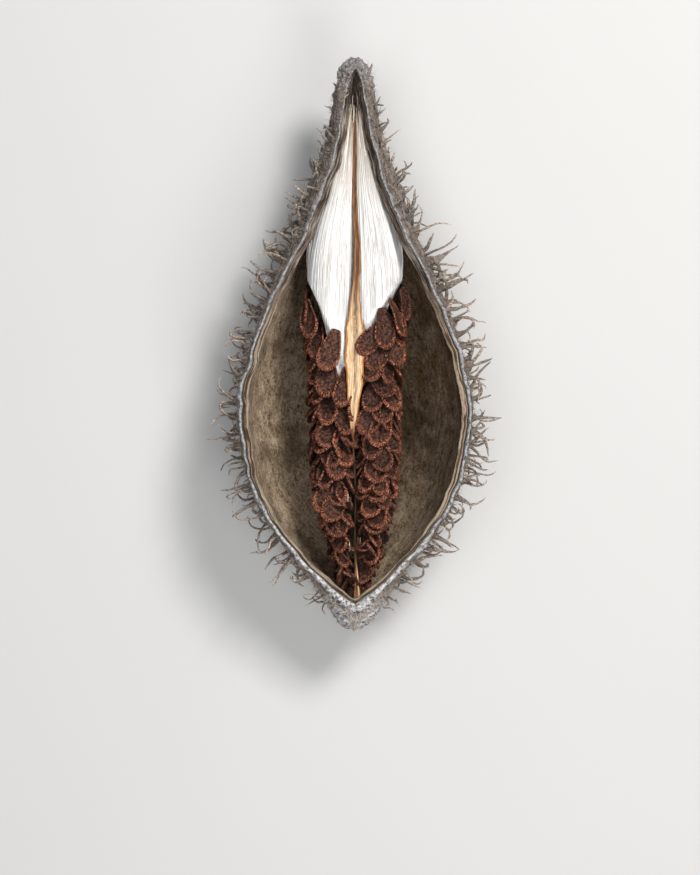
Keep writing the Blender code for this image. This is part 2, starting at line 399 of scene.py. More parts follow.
    def paint(self, colour: bpy.types.NodeSocket) -> None:
        """Give the shader its colour."""
        self.tree.links.new(colour, self.shader.inputs["Base Color"])


@dataclass(frozen=True)
class HuskFinish:
    """The husk: grey wool outside, papery tan lining inside, and their two edges."""

    crevice: Colour = (0.030, 0.025, 0.021)
    wool: Colour = (0.150, 0.126, 0.110)
    pale_wool: Colour = (0.40, 0.365, 0.335)
    rust: Colour = (0.19, 0.100, 0.055)
    rim_dark: Colour = (0.048, 0.038, 0.032)
    rim_wool: Colour = (0.275, 0.262, 0.255)
    rim_pale: Colour = (0.56, 0.555, 0.555)
    rim_cool: Colour = (0.60, 0.615, 0.65)
    lining: Colour = (0.210, 0.152, 0.098)
    lining_dark: Colour = (0.042, 0.026, 0.015)
    lining_pale: Colour = (0.37, 0.295, 0.215)
    edge_dark: Colour = (0.045, 0.028, 0.017)
    edge_pale: Colour = (0.27, 0.212, 0.158)
    # The band: its own fibre stripes on a dark ground that is painted shade of the lining seen
    # steeply under the lips.
    band_dark: Colour = (0.022, 0.016, 0.012)
    band: Colour = (0.105, 0.078, 0.062)
    band_pale: Colour = (0.31, 0.265, 0.225)
    # Painted shade: near black in the groove beside the felt.
    groove: Colour = (0.024, 0.018, 0.013)
    # Painted shade: multiplies the right wall's lining darker and browner.
    stain: Colour = (0.48, 0.385, 0.27)

    def material(self) -> bpy.types.Material:
        """Make the material.

        Returns:
            The material, which reads the husk's own values.
        """
        sheet = Sheet("husk", roughness=0.92, specular=0.12)
        streaks = sheet.noise(sheet.surface(2.6, 0.45), 1.0, 4.0, 0.65)
        fine = sheet.noise(sheet.surface(6.0, 2.4), 1.0, 3.0, 0.7)
        grain = sheet.weighted((streaks, 0.55), (fine, 0.45))
        wool = sheet.ramp(grain, ((0.38, self.crevice), (0.49, self.wool),
                                  (0.64, self.pale_wool)))
        flecks = sheet.step(sheet.noise(sheet.surface(1.1, 0.8), 1.0, 2.0), 0.58, 0.70)
        wool = sheet.mix(sheet.product(flecks, 0.55), wool, self.rust)
        curds = sheet.noise(sheet.place(), 1.9, 4.0, 0.7)
        level = sheet.product(sheet.step(sheet.value("along"), 5.0, 12.0), 0.022)
        felted = sheet.math("ADD", curds, level)
        rim = sheet.ramp(felted, ((0.37, self.rim_dark), (0.46, self.rim_wool),
                                 (0.60, self.rim_pale)))
        rim = sheet.mix(1.0, rim, sheet.mix(sheet.step(sheet.value("along"), 8.0, 30.0),
                                            (1.0, 1.0, 1.0), self.rim_cool), "MULTIPLY")
        wool = sheet.mix(sheet.value("pale"), wool, rim)

        fibres = sheet.noise(sheet.surface(1.6, 0.30), 1.0, 4.0, 0.7)
        specks = sheet.noise(sheet.place(), 2.1, 3.0, 0.8)
        mottle = sheet.noise(sheet.place((1.0, 0.75, 1.0)), 0.55, 3.0, 0.65)
        shade = sheet.weighted((fibres, 0.25), (specks, 0.47), (mottle, 0.28))
        lining = sheet.ramp(shade, ((0.39, self.lining_dark), (0.49, self.lining),
                                    (0.61, self.lining_pale)))
        clouds = sheet.noise(sheet.place(), 0.13, 3.0)
        blotch = sheet.product(sheet.step(clouds, 0.48, 0.68), 0.6)
        lining = sheet.mix(blotch, lining, self.lining_dark)
        # Painted shade on the right wall, laid on in patches.
        patchy = sheet.noise(sheet.place((1.0, 0.6, 1.0)), 0.28, 4.0, 0.7)
        patches = sheet.math("ADD", sheet.product(sheet.step(patchy, 0.42, 0.60), 0.65), 0.45)
        lining = sheet.mix(sheet.product(sheet.value("stain"), patches), lining,
                           sheet.mix(1.0, lining, self.stain, "MULTIPLY"))
        stripes = sheet.noise(sheet.surface(1.3, 0.09), 1.0, 3.0, 0.65)
        lines = sheet.math("SINE", sheet.weighted((sheet.value("around"), 8.0),
                                                  (stripes, 15.0)))
        edge = sheet.mix(sheet.step(lines, -0.9, 0.5), self.edge_dark, self.edge_pale)
        edge = sheet.mix(sheet.product(sheet.step(fine, 0.52, 0.66), 0.6), edge,
                         self.edge_dark)
        lining = sheet.mix(sheet.value("edge"), lining, edge)

        # The band: fibre stripes, on a ground darkened as painted shade.
        cords = sheet.noise(sheet.surface(4.2, 0.22), 1.0, 4.0, 0.6)
        band = sheet.ramp(cords, ((0.40, self.band_dark), (0.52, self.band),
                                  (0.66, self.band_pale)))
        colour = sheet.mix(sheet.value("inside"), wool, lining)
        colour = sheet.mix(sheet.value("band"), colour, band)
        # Painted shade in the groove beside the felt.
        sheet.paint(sheet.mix(sheet.value("groove"), colour, self.groove))
        sheet.bumps(sheet.mix(sheet.value("inside"), grain, shade), 0.5, 0.8)
        sheet.bumps(curds, 0.25, 0.6)
        return sheet.material


@dataclass(frozen=True)
class SpineFinish:
    """The soft spines and the loose wool."""

    root: Colour = (0.095, 0.081, 0.072)
    middle: Colour = (0.200, 0.176, 0.158)
    tip: Colour = (0.34, 0.307, 0.280)
    bloom: Colour = (0.70, 0.66, 0.63)

    def material(self) -> bpy.types.Material:
        """Make the material.

        Returns:
            The material, which reads "reach" along a spine and its own "tint".
        """
        sheet = Sheet("spines", roughness=0.9, specular=0.15)
        reach, tint = sheet.value("reach"), sheet.value("tint")
        reach = sheet.product(reach, 0.5)
        along = sheet.ramp(reach, ((0.0, self.root), (0.175, self.middle), (0.5, self.tip),
                                   (1.0, self.bloom)))
        streaks = sheet.noise(sheet.place(), 2.6, 3.0, 0.7)
        darker = sheet.mix(sheet.step(streaks, 0.40, 0.62), (0.45, 0.42, 0.39), (1.25, 1.22, 1.2))
        colour = sheet.mix(1.0, along, darker, "MULTIPLY")
        warm = sheet.mix(tint, (0.72, 0.72, 0.74), (1.28, 1.18, 1.06))
        sheet.paint(sheet.mix(1.0, colour, warm, "MULTIPLY"))
        sheet.bumps(streaks, 0.15, 0.8)
        return sheet.material


@dataclass(frozen=True)
class SeedFinish:
    """A seed's coat: a reddish corky rim round a darker, rough middle."""

    middle: Colour = (0.010, 0.0045, 0.003)
    middle_pale: Colour = (0.115, 0.048, 0.030)
    rim_dark: Colour = (0.024, 0.007, 0.004)
    rim: Colour = (0.105, 0.031, 0.016)
    rim_pale: Colour = (0.46, 0.190, 0.115)
    # Painted shade: near black over narrow ends tucked under the row above.
    shut: Colour = (0.004, 0.002, 0.0015)

    def material(self) -> bpy.types.Material:
        """Make the material.

        Returns:
            The material, which reads "rim", "run", the painted shade of tucked-in ends and each
            seed's own "tint".
        """
        sheet = Sheet("seed_coat", roughness=0.6, specular=0.2)
        rim, run, tint = sheet.value("rim"), sheet.value("run"), sheet.value("tint")
        rough = sheet.noise(sheet.place(), 2.2, 4.0, 0.7)
        middle = sheet.mix(sheet.step(rough, 0.40, 0.66), self.middle, self.middle_pale)
        wander = sheet.product(sheet.noise(sheet.place(), 1.1, 2.0), 2.4)
        wave = sheet.math("SINE", sheet.product(sheet.math("ADD", run, wander), 12.5))
        ridge = sheet.math("ADD", sheet.product(wave, 0.5), 0.5)
        cork = sheet.weighted((ridge, 0.38), (rough, 0.62))
        corky = sheet.ramp(cork, ((0.30, self.rim_dark), (0.5, self.rim), (0.74, self.rim_pale)))
        colour = sheet.mix(sheet.step(rim, 0.35, 0.75), middle, corky)
        tone = sheet.mix(tint, (0.70, 0.66, 0.66), (1.22, 1.14, 1.08))
        colour = sheet.mix(1.0, colour, tone, "MULTIPLY")
        # Painted shade over the tucked-in narrow ends.
        sheet.paint(sheet.mix(sheet.product(sheet.value("shut"), 0.92), colour,
                              self.shut))
        sheet.bumps(sheet.product(ridge, sheet.step(rim, 0.3, 0.8)), 0.20, 0.9)
        sheet.bumps(rough, 0.40, 0.9)
        return sheet.material


@dataclass(frozen=True)
class SilkFinish:
    """Bright white silk, warmer near the tip, with painted shade where it runs in under the
    seeds.
    """

    white: Colour = (0.76, 0.75, 0.735)
    shade: Colour = (0.47, 0.43, 0.385)
    straw: Colour = (0.27, 0.195, 0.10)
    # Painted shade: near black where the silk runs in under the seeds.
    hidden: Colour = (0.030, 0.016, 0.011)

    def material(self) -> bpy.types.Material:
        """Make the material.

        Returns:
            The material, which reads "around", "along", "under" (painted shade under the seeds)
            and the tip's "straw".
        """
        sheet = Sheet("silk", roughness=0.42, specular=0.35)
        sheet.shader.inputs["Sheen Weight"].default_value = 0.15
        sheet.shader.inputs["Sheen Roughness"].default_value = 0.35
        strands = sheet.noise(sheet.surface(2.6, 0.022), 1.0, 3.0, 0.7)
        finer = sheet.noise(sheet.surface(9.0, 0.06), 1.0, 2.0, 0.6)
        both = sheet.weighted((strands, 0.6), (finer, 0.4))
        colour = sheet.ramp(both, ((0.36, self.shade), (0.50, self.white), (1.0, self.white)))
        streaks = sheet.noise(sheet.surface(3.2, 0.05), 1.0, 3.0, 0.7)
        warm = sheet.product(sheet.value("straw"), sheet.step(streaks, 0.36, 0.56))
        colour = sheet.mix(warm, colour, self.straw)
        # Painted shade where the silk runs in under the seeds.
        sheet.paint(sheet.mix(sheet.value("under"), colour, self.hidden))
        sheet.bumps(both, 0.25, 0.6)
        return sheet.material


@dataclass(frozen=True)
class PlacentaFinish:
    """The papery strip between the halves: brown above, cream where it widens."""

    brown: Colour = (0.27, 0.115, 0.042)
    brown_dark: Colour = (0.085, 0.038, 0.017)
    cream: Colour = (0.62, 0.475, 0.31)
    tan: Colour = (0.40, 0.245, 0.12)
    edge: Colour = (0.34, 0.135, 0.036)
    seam: Colour = (0.060, 0.034, 0.018)
    stem: Colour = (0.040, 0.026, 0.015)

    def material(self) -> bpy.types.Material:
        """Make the material.

        Returns:
            The material, which reads "around", "along", "cream", "brim", "seam" and "foot".
        """
        sheet = Sheet("membrane", roughness=0.7, specular=0.25)
        streaks = sheet.noise(sheet.surface(5.0, 0.30), 1.0, 4.0, 0.7)
        blots = sheet.noise(sheet.surface(1.6, 0.6), 1.0, 4.0, 0.7)
        cream = sheet.mix(sheet.step(streaks, 0.40, 0.60), self.tan, self.cream)
        cream = sheet.mix(sheet.product(sheet.step(blots, 0.50, 0.66), 0.55),
                          cream, self.tan)
        rough_edge = sheet.step(sheet.math("ADD", sheet.value("brim"), blots), 0.84, 1.16)
        cream = sheet.mix(rough_edge, cream, self.edge)
        brown = sheet.mix(sheet.step(streaks, 0.38, 0.6), self.brown_dark, self.brown)
        brown = sheet.mix(sheet.value("foot"), brown, self.stem)
        colour = sheet.mix(sheet.value("cream"), brown, cream)
        cracked = sheet.product(sheet.value("seam"), sheet.step(blots, 0.30, 0.55))
        sheet.paint(sheet.mix(cracked, colour, self.seam))
        sheet.bumps(streaks, 0.2, 0.7)
        return sheet.material


@dataclass(frozen=True)
class StalkFinish:
    """The stalk: brown bark with a grey bloom, and a pale pithy cut end."""

    bark: Colour = (0.115, 0.075, 0.050)
    bloom: Colour = (0.30, 0.26, 0.225)
    pith: Colour = (0.52, 0.43, 0.30)
    hollow: Colour = (0.06, 0.04, 0.025)

    def material(self) -> bpy.types.Material:
        """Make the material.

        Returns:
            The material, which reads "around", "along" and "cut" over the end.
        """
        sheet = Sheet("stalk", roughness=0.85, specular=0.2)
        ribs = sheet.noise(sheet.surface(3.0, 0.35), 1.0, 4.0, 0.65)
        bark = sheet.mix(sheet.step(ribs, 0.42, 0.66), self.bark, self.bloom)
        pores = sheet.step(sheet.cells(sheet.place(), 3.4), 0.12, 0.3)
        pith = sheet.mix(pores, self.hollow, self.pith)
        sheet.paint(sheet.mix(sheet.value("cut"), bark, pith))
        sheet.bumps(ribs, 0.3, 0.8)
        return sheet.material


@dataclass(frozen=True)
class FloorFinish:
    """A plain pale floor."""

    colour: Colour = (0.44, 0.436, 0.428)
    unevenness: float = 0.03

    def material(self) -> bpy.types.Material:
        """Make the material.

        Returns:
            The material, with faint clouds.
        """
        sheet = Sheet("pale_floor", roughness=0.8, specular=0.2)
        clouds = sheet.noise(sheet.place(), 0.02, 2.0)
        darker = tuple(part * (1 - self.unevenness) for part in self.colour)
        sheet.paint(sheet.mix(clouds, self.colour, darker))
        return sheet.material


# --- shared making ----------------------------------------------------------------------------


def dress(name: str, mesh: bpy.types.Mesh, material: bpy.types.Material,
          nodes: list[str], ruler: Ruler) -> bpy.types.Object:
    """Turn a finished mesh into a piece that rides with the frame.

    Args:
        name: The piece's name.
        mesh: Its mesh, in pod millimetres.
        material: Its material.
        nodes: The frame's nodes that it stands for.
        ruler: Puts it in the frame.

    Returns:
        The piece.
    """
    ruler.place(mesh)
    mesh.shade_smooth()
    mesh.materials.append(material)
    piece = bpy.data.objects.new(name, mesh)
    bpy.context.scene.collection.objects.link(piece)
    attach(piece, BODY)
    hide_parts(*nodes)
    log.info("%s: %d faces, stands for %s", name, len(mesh.polygons), ", ".join(nodes))
    return piece


def finished(bm: bmesh.types.BMesh, name: str) -> bpy.types.Mesh:
    """Turn a bmesh into a mesh, and free it.

    Args:
        bm: The bmesh.
        name: The mesh's name.

    Returns:
        The mesh.
    """
    mesh = bpy.data.meshes.new(name)
    bm.to_mesh(mesh)
    bm.free()
    return mesh


def face_outwards(mesh: bpy.types.Mesh) -> None:
    """Turn a closed mesh's faces outwards, once its points are in place.

    Args:
        mesh: The mesh.
    """
    bm = bmesh.new()
    bm.from_mesh(mesh)
    bmesh.ops.recalc_face_normals(bm, faces=bm.faces)
    bm.to_mesh(mesh)
    bm.free()


def tube_template(sides: int, rows: int) -> bmesh.types.BMesh:
    """A closed tube along z from -1 to 1.

    Args:
        sides: Its number of sides.
        rows: Its number of rings, both ends included.

    Returns:
        The tube.
    """
    bm = bmesh.new()
    bmesh.ops.create_cone(bm, cap_ends=True, segments=sides, radius1=1, radius2=1, depth=2)
    long_edges = [edge for edge in bm.edges
                  if abs(edge.verts[0].co.z - edge.verts[1].co.z) > 1]
    if rows > 2:
        bmesh.ops.subdivide_edges(bm, edges=long_edges, cuts=rows - 2)
    return bm


def repeat(bm: bmesh.types.BMesh, count: int) -> None:
    """Fill a bmesh with copies of what it holds, one after the other.

    Args:
        bm: The bmesh, which holds one copy.
        count: How many it holds at the end.
    """
    size = len(bm.verts)
    have = 1
    while have < count:
        more = min(have, count - have)
        bm.verts.index_update()
        last = more * size
        copied = [item for group in (bm.edges, bm.faces) for item in group
                  if item.verts[0].index < last]
        bmesh.ops.duplicate(bm, geom=bm.verts[:last] + copied)
        have += more


def strand_mesh(name: str, paths: np.ndarray, radii: np.ndarray, sides: int,
                flatness: float = 1.0) -> bpy.types.Mesh:
    """Many tapered strands in one mesh.

    Args:
        name: The mesh's name.
        paths: The strands' routes, as (strand, row, 3).
        radii: Their radii, as (strand, row).
        sides: How many sides each has.
        flatness: The second width of the section against the first.

    Returns:
        The mesh, with "reach", 0 at a strand's root and 1 at its tip.
    """
    count, rows, _ = paths.shape
    bm = tube_template(sides, rows)
    shape = np.array([vert.co for vert in bm.verts])
    row = np.rint((shape[:, 2] + 1) / 2 * (rows - 1)).astype(int)
    repeat(bm, count)
    mesh = finished(bm, name)
    ahead = unit_rows(np.gradient(paths, axis=1))
    first = np.empty_like(paths)
    # Any direction across the root does, and this one is never along the strand.
    guide = np.cross(ahead[:, 0], np.roll(ahead[:, 0], 1, axis=1) + (0.3, -0.2, 0.5))
    for k in range(rows):
        guide = unit_rows(guide - ahead[:, k] * np.sum(guide * ahead[:, k], 1, keepdims=True))
        first[:, k] = guide
    second = np.cross(ahead, first)
    out = (first[:, row] * shape[:, 0][None, :, None]
           + second[:, row] * shape[:, 1][None, :, None] * flatness)
    points = paths[:, row] + out * radii[:, row][..., None]
    points[..., 2] = np.maximum(points[..., 2], 0.0)
    write_points(mesh, points.reshape(-1, 3))
    write_values(mesh, "reach", np.tile(row / (rows - 1), count))
    return mesh


def per_strand(values: np.ndarray, mesh: bpy.types.Mesh) -> np.ndarray:
    """One value for each strand, repeated for each of its points."""
    return np.repeat(values, len(mesh.vertices) // len(values))


# --- the husk ---------------------------------------------------------------------------------


@dataclass(frozen=True)
class HuskShape:
    """The outlines that the husk follows, as in the frame."""

    half_width: Profile = Profile((
        (0.0, 0.0), (0.9, 2.1), (2.4, 3.5), (4.6, 4.9), (7.5, 6.8), (12.0, 10.3),
        (17.0, 14.1), (26.0, 18.4), (38.0, 20.4), (51.0, 17.9), (61.5, 14.1),
        (71.0, 10.2), (79.0, 7.4), (84.0, 5.7), (90.5, 4.0), (95.0, 3.1),
        (97.6, 2.5), (98.9, 1.95), (99.6, 1.3), (99.88, 0.75), (100.0, 0.0)))
    lip_gap: Profile = Profile((
        (2.6, 0.0), (5.0, 3.0), (7.8, 5.6), (12.0, 9.5), (16.5, 13.2), (20.5, 15.9),
        (25.6, 18.1), (31.7, 19.6), (38.0, 20.2), (45.8, 18.9), (51.0, 17.4),
        (61.7, 12.8), (71.2, 8.1), (77.2, 5.8), (82.0, 4.15), (87.0, 3.1),
        (92.0, 2.15), (94.5, 1.6), (96.4, 1.1), (97.8, 0.65), (98.7, 0.0)))
    lip_height: Profile = Profile((
        (0.0, 14.4), (0.9, 16.7), (2.4, 18.3), (4.6, 19.5), (8.0, 20.6), (20.0, 23.4),
        (38.0, 24.75), (60.0, 23.8), (80.0, 21.8), (92.0, 20.6), (98.0, 20.4),
        (99.6, 19.8), (100.0, 18.8)))
    keel_height: Profile = Profile((
        (0.0, 14.4), (0.9, 12.2), (2.4, 10.7), (4.6, 9.6), (8.0, 8.2), (12.0, 6.0),
        (17.0, 3.3), (24.0, 0.8), (31.0, -0.5), (38.0, -0.7), (50.0, -0.7), (56.0, -0.3),
        (61.0, 0.8), (70.0, 3.9), (80.0, 7.9), (90.0, 12.6), (95.0, 14.9), (98.4, 16.2),
        (99.6, 17.6), (100.0, 18.8)))
    outer_slit: tuple[float, float] = (2.6, 98.7)
    inner_slit: tuple[float, float] = (5.6, 98.0)
    wall: float = 1.7
    wall_tip: float = 1.1
    overhang: Profile = Profile((
        (4.0, 2.0), (6.2, 1.9), (8.5, 1.35), (14.0, 1.05), (76.0, 1.05), (88.0, 0.95),
        (94.0, 0.75), (98.0, 0.6)))

    def thickness(self, d: np.ndarray) -> np.ndarray:
        """The wall's thickness, thinner towards both ends."""
        outer = self.half_width.at(d)
        return np.minimum(np.minimum(self.wall, np.maximum(self.wall_tip, outer * 0.4)),
                          outer - 0.3)

    def section(self, d: np.ndarray, inset: np.ndarray | float = 0.0
                ) -> tuple[np.ndarray, np.ndarray, np.ndarray, np.ndarray]:
        """The cross-section at d, set in by a distance.

        Args:
            d: Distances from the base.
            inset: How far inside the outer skin.

        Returns:
            The section's middle height, half width, half depth and the angle of its lips.
        """
        d = np.asarray(d, float)
        inset = np.broadcast_to(inset, d.shape)
        half_width = np.maximum(self.half_width.at(d), 0.001)
        low, high = self.outer_slit
        gap = np.where((d > low) & (d < high), self.lip_gap.at(d), 0.0)
        lip = math.pi - np.arcsin(np.minimum(gap / half_width, 0.995))
        top = self.lip_height.at(d)
        half_depth = (top - self.keel_height.at(d)) / (1 - np.cos(lip))
        middle = top + half_depth * np.cos(lip)
        low, high = self.inner_slit
        inside_gap = np.where((d > low) & (d < high),
                              np.maximum(gap - inset * self.overhang.at(d), 0.0), 0.0)
        inner = math.pi - np.arcsin(np.minimum(
            inside_gap / np.maximum(half_width - inset, 0.01), 0.998))
        lip = np.where(inset > 0, inner, lip)
        return middle, half_width - inset, half_depth - inset, lip

    def point(self, across: np.ndarray, d: np.ndarray, inset: np.ndarray | float = 0.0
              ) -> np.ndarray:
        """Points of a skin.

        Args:
            across: -1 and 1 at the lips and 0 at the keel.
            d: Distances from the base.
            inset: How far inside the outer skin.

        Returns:
            The points.
        """
        middle, half_width, half_depth, lip = self.section(d, inset)
        angle = lip * across
        z = np.maximum(middle - half_depth * np.cos(angle), inset)
        return np.stack([half_width * np.sin(angle), np.broadcast_to(d, z.shape), z], axis=-1)

    def outwards(self, across: np.ndarray, d: np.ndarray) -> np.ndarray:
        """Directions that point away from the outer skin.

        Args:
            across: -1 and 1 at the lips and 0 at the keel.
            d: Distances from the base.

        Returns:
            The directions, each of length 1.
        """
        step = 0.4
        along = self.point(across, d + step) - self.point(across, d - step)
        turn = self.point(across + 0.01, d) - self.point(across - 0.01, d)
        return unit_rows(np.cross(along, turn))


def rows_between(start: float, end: float, count: int) -> np.ndarray:
    """Space rows out, closer together towards both ends.

    Args:
        start: The first place.
        end: The last one.
        count: How many steps there are between them.

    Returns:
        The places.
    """
    t = np.linspace(0.0, 1.0, count + 1)
    return start + (end - start) * (t - 0.12 * np.sin(2 * math.pi * t))


@dataclass(frozen=True)
class ShellPlaces:
    """Where each point of the smooth shell lies.

    Attributes:
        lip: 0 on the outer skin, 1 on the inner one, and between them over the lip.
        across: -1 and 1 at the lips and 0 at the keel.
        gap: Half the width of the opening.
        from_lip: Distance from the lip, round the section.
        around: The same, and below 0 over the lip.
        on_lip: True over the lip.
        ends: 1 at the base and 0 beyond it.
        tip: 1 at the tip and 0 before it.
        upper: 0 on the base's half of the pod and 1 on the tip's.
    """

    lip: np.ndarray
    across: np.ndarray
    gap: np.ndarray
    from_lip: np.ndarray
    around: np.ndarray
    on_lip: np.ndarray
    ends: np.ndarray
    tip: np.ndarray
    upper: np.ndarray

    @classmethod
    def on(cls, mesh: bpy.types.Mesh, shape: HuskShape) -> "ShellPlaces":
        """Work the places out.

        Args:
            mesh: The smooth shell.
            shape: The outlines that it follows.

        Returns:
            The places of its points.
        """
        points = read_points(mesh)
        d = points[:, 1]
        lip, across = read_values(mesh, "lip"), read_values(mesh, "across")
        _, half_width, _, angle = shape.section(d)
        on_lip = (lip > 0.001) & (lip < 0.999)
        across = np.where(on_lip, np.sign(points[:, 0]), across)
        from_lip = np.where(on_lip, 0.0, (1 - np.abs(across)) * angle * half_width)
        return cls(lip=lip, across=across, gap=shape.lip_gap.at(d), from_lip=from_lip,
                   around=from_lip - lip * shape.wall * on_lip, on_lip=on_lip,
                   ends=1 - ease(3.5, 9.5, d), tip=ease(93.0, 97.5, d),
                   upper=ease(50.0, 63.0, d))

    @property
    def side(self) -> np.ndarray:
        """-1 on the left, 1 on the right."""
        return np.sign(self.across)

    @property
    def outside(self) -> np.ndarray:
        """True on the outer skin and the outer half of the lip."""
        return self.lip < 0.5

    @property
    def pale_ridge(self) -> np.ndarray:
        """1 on the pale ridge along the tip's lips."""
        return np.exp(-((self.lip - 0.17) / 0.12) ** 2)

    def felt(self, d: np.ndarray) -> np.ndarray:
        """How far over the lip the pale felt reaches, wider towards the base."""
        return 0.31 + 0.19 * (1 - ease(8.0, 26.0, d)) + 0.14 * self.ends

    def low_and_high(self, low: np.ndarray, high: np.ndarray) -> np.ndarray:
        """Values that change from those of the base's half to those of the tip's."""
        return low * (1 - self.upper) + high * self.upper


@dataclass
class Husk:
    """The husk: its two skins, the lips between them, its spines and its wool."""

    shape: HuskShape
    ruler: Ruler
    outer_columns: int = 124
    inner_columns: int = 70
    slit_rows: int = 280
    outer_base: tuple[float, ...] = (0.0, 0.15, 0.35, 0.6, 0.85, 1.1, 1.35, 1.6, 1.85, 2.1, 2.35)
    outer_tip: tuple[float, ...] = (98.95, 99.2, 99.45, 99.7, 99.88, 100.0)
    inner_base: tuple[float, ...] = (3.6, 4.0, 4.6)
    inner_tip: tuple[float, ...] = (98.3, 98.6)
    lip_cuts: int = 11
    spine_spacing: float = 2.75
    spine_length: tuple[float, float, float] = (3.6, 5.8, 9.0)   # shortest, usual, longest
    spine_rows: int = 13
    spine_sides: int = 5
    spine_flatness: float = 0.72
    wool_strands: int = 7500
    wool_on_lips: float = 0.42
    wool_on_base: float = 0.17
    wool_length: tuple[float, float] = (0.5, 1.7)
    wool_thickness: tuple[float, float] = (0.022, 0.045)
    wool_taper: tuple[float, ...] = (1.0, 0.9, 0.75, 0.55, 0.25)
    seed: int = 21

    def build(self) -> None:
        """Make and dress the husk's pieces."""
        material = HuskFinish().material()
        dress("husk", self.shell(), material, ["pod_wall"], self.ruler)
        hairy = SpineFinish().material()
        dress("husk_spines", self.spines(), hairy, ["pod_wall"], self.ruler)
        dress("husk_wool", self.wool(), hairy, ["pod_wall"], self.ruler)

    def _skin(self, bm: bmesh.types.BMesh, rows: np.ndarray, skin: Skin) -> None:
        """Add one skin to the shell.

        Args:
            bm: The shell.
            rows: d of each of the skin's rows.
            skin: Which skin it is.
        """
        columns = self.outer_columns if skin is Skin.OUTER else self.inner_columns
        made = bmesh.ops.create_grid(bm, x_segments=columns,
                                     y_segments=len(rows) - 1, size=0.5)["verts"]
        flat = np.array([vert.co for vert in made])
        across = flat[:, 0] * 2
        row = np.rint((flat[:, 1] + 0.5) * (len(rows) - 1)).astype(int)
        d = rows[row]
        across = np.where((row == 0) | (row == len(rows) - 1), 1.0, across)
        inset = self.shape.thickness(d) if skin is Skin.INNER else 0.0
        points = self.shape.point(across, d, inset)
        lip_layer, across_layer = (bm.verts.layers.float[name] for name in ("lip", "across"))
        for vert, point, turn in zip(made, points, across):
            vert.co = point
            vert[lip_layer] = skin.value
            vert[across_layer] = turn
        bmesh.ops.remove_doubles(bm, verts=made, dist=1e-4)

    def shell(self) -> bpy.types.Mesh:
        """The two skins joined along their lips.

        Returns:
            The mesh, with the values that the husk's material reads.
        """
        bm = bmesh.new()
        for name in ("lip", "across"):
            bm.verts.layers.float.new(name)
        for skin, slit, base, tip in (
                (Skin.OUTER, self.shape.outer_slit, self.outer_base, self.outer_tip),
                (Skin.INNER, self.shape.inner_slit, self.inner_base, self.inner_tip)):
            slit_rows = rows_between(*slit, self.slit_rows)
            self._skin(bm, np.concatenate([base, slit_rows, tip]), skin)
        loose = [edge for edge in bm.edges if edge.is_boundary]
        bridge = bmesh.ops.bridge_loops(bm, edges=loose)
        bmesh.ops.subdivide_edges(bm, edges=bridge["edges"], cuts=self.lip_cuts)
        bmesh.ops.recalc_face_normals(bm, faces=bm.faces)
        mesh = finished(bm, "husk")
        self._weather(mesh)
        return mesh

    def _weather(self, mesh: bpy.types.Mesh) -> None:
        """Give the smooth shell its lips, wrinkles and pits, and its material its values.

        Args:
            mesh: The shell.
        """
        at = ShellPlaces.on(mesh, self.shape)
        points = read_points(mesh)
        resting = ease(0.0, 1.2, points[:, 2])
        normals = np.empty(len(points) * 3, np.float32)
        mesh.vertices.foreach_get("normal", normals)
        normals = normals.reshape(-1, 3).astype(float)
        points += normals * (self._wrinkles(points, at) * resting)[:, None]
        self._shape_lips(points, at, resting)
        write_points(mesh, points)
        self._note(mesh, points, at)

    @staticmethod
    def _wrinkles(points: np.ndarray, at: ShellPlaces) -> np.ndarray:
        """Wrinkles over both skins, and curly felt at the base and the tip.

        Args:
            points: The smooth shell's points.
            at: Their places.

        Returns:
            How far each point is lifted off the skin.
        """
        along = np.stack([at.around, points[:, 1] * 0.3, at.across * 6], axis=1)
        ridges = lumps(along, 1.1, 3)
        curds = lumps(points, 0.7, 2, 7.0)
        broad = lumps(points, 6.0, 2, 3.0)
        lift = np.where(at.outside, ridges * 0.34 + curds * 0.24 + broad * 0.25,
                        ridges * 0.07 + broad * 0.22)
        curly = np.maximum(at.ends, at.tip)
        curls = curly * (1 - np.abs(lumps(points, 0.9, 2, 11.0)) * 3) * 0.38
        lift += np.where(at.outside, curls, 0)
        return lift * np.where(at.on_lip, 0.6, 1.0)

    @staticmethod
    def _shape_lips(points: np.ndarray, at: ShellPlaces, resting: np.ndarray) -> None:
        """Raise the felt, cut the groove beside it and let the lips swing.

        Args:
            points: The wrinkled shell's points, which are moved.
            at: Their places.
            resting: 0 where the pod touches the ground, to 1 above it.
        """
        d, lip, side, on_lip = points[:, 1], at.lip, at.side, at.on_lip
        near = np.exp(-at.from_lip / 2.0)
        felt = at.felt(d)
        felt_edge = np.sqrt(np.clip(1 - (lip * 2 / felt - 1) ** 2, 0, 1))
        groove = np.exp(-((lip - felt - 0.06) / 0.05) ** 2)
        fibrous = np.clip((lip - felt - 0.12) / 0.2, 0, 1)
        stripes = lumps(np.stack([lip * 6.0, d * 0.12, side * 5], axis=1), 1.0, 2, 2.0)
        low_rise = (felt_edge * (0.5 + 0.5 * at.ends) - groove * 0.6
                    + fibrous * stripes * 0.3)
        cords = lumps(np.stack([lip * 5.5, d * 0.10, side * 9], axis=1), 1.0, 2, 5.0)
        high_rise = at.pale_ridge * 0.45 - ease(0.22, 0.95, lip) * 1.0 + cords * 0.28
        wave = lumps(np.stack([d, lip * 1.5, side * 9], axis=1), 2.6, 3, 5.0)
        points[:, 2] += (np.where(on_lip, at.low_and_high(low_rise, high_rise), 0.0)
                         + np.where(on_lip, wave * 0.22, 0.0))
        points[:, 2] -= np.where(lip > 0.999, at.upper * near, 0.0)
        swing = lumps(np.stack([d, side * 20, d * 0], axis=1), 5.0, 3, 2.0)
        points[:, 0] += swing * 0.5 * near * ease(0.6, 3.0, at.gap)
        points[:, 2] += swing * 0.3 * near * resting
        points[:, 2] = np.maximum(points[:, 2], np.where(at.outside, 0.0, 0.4))

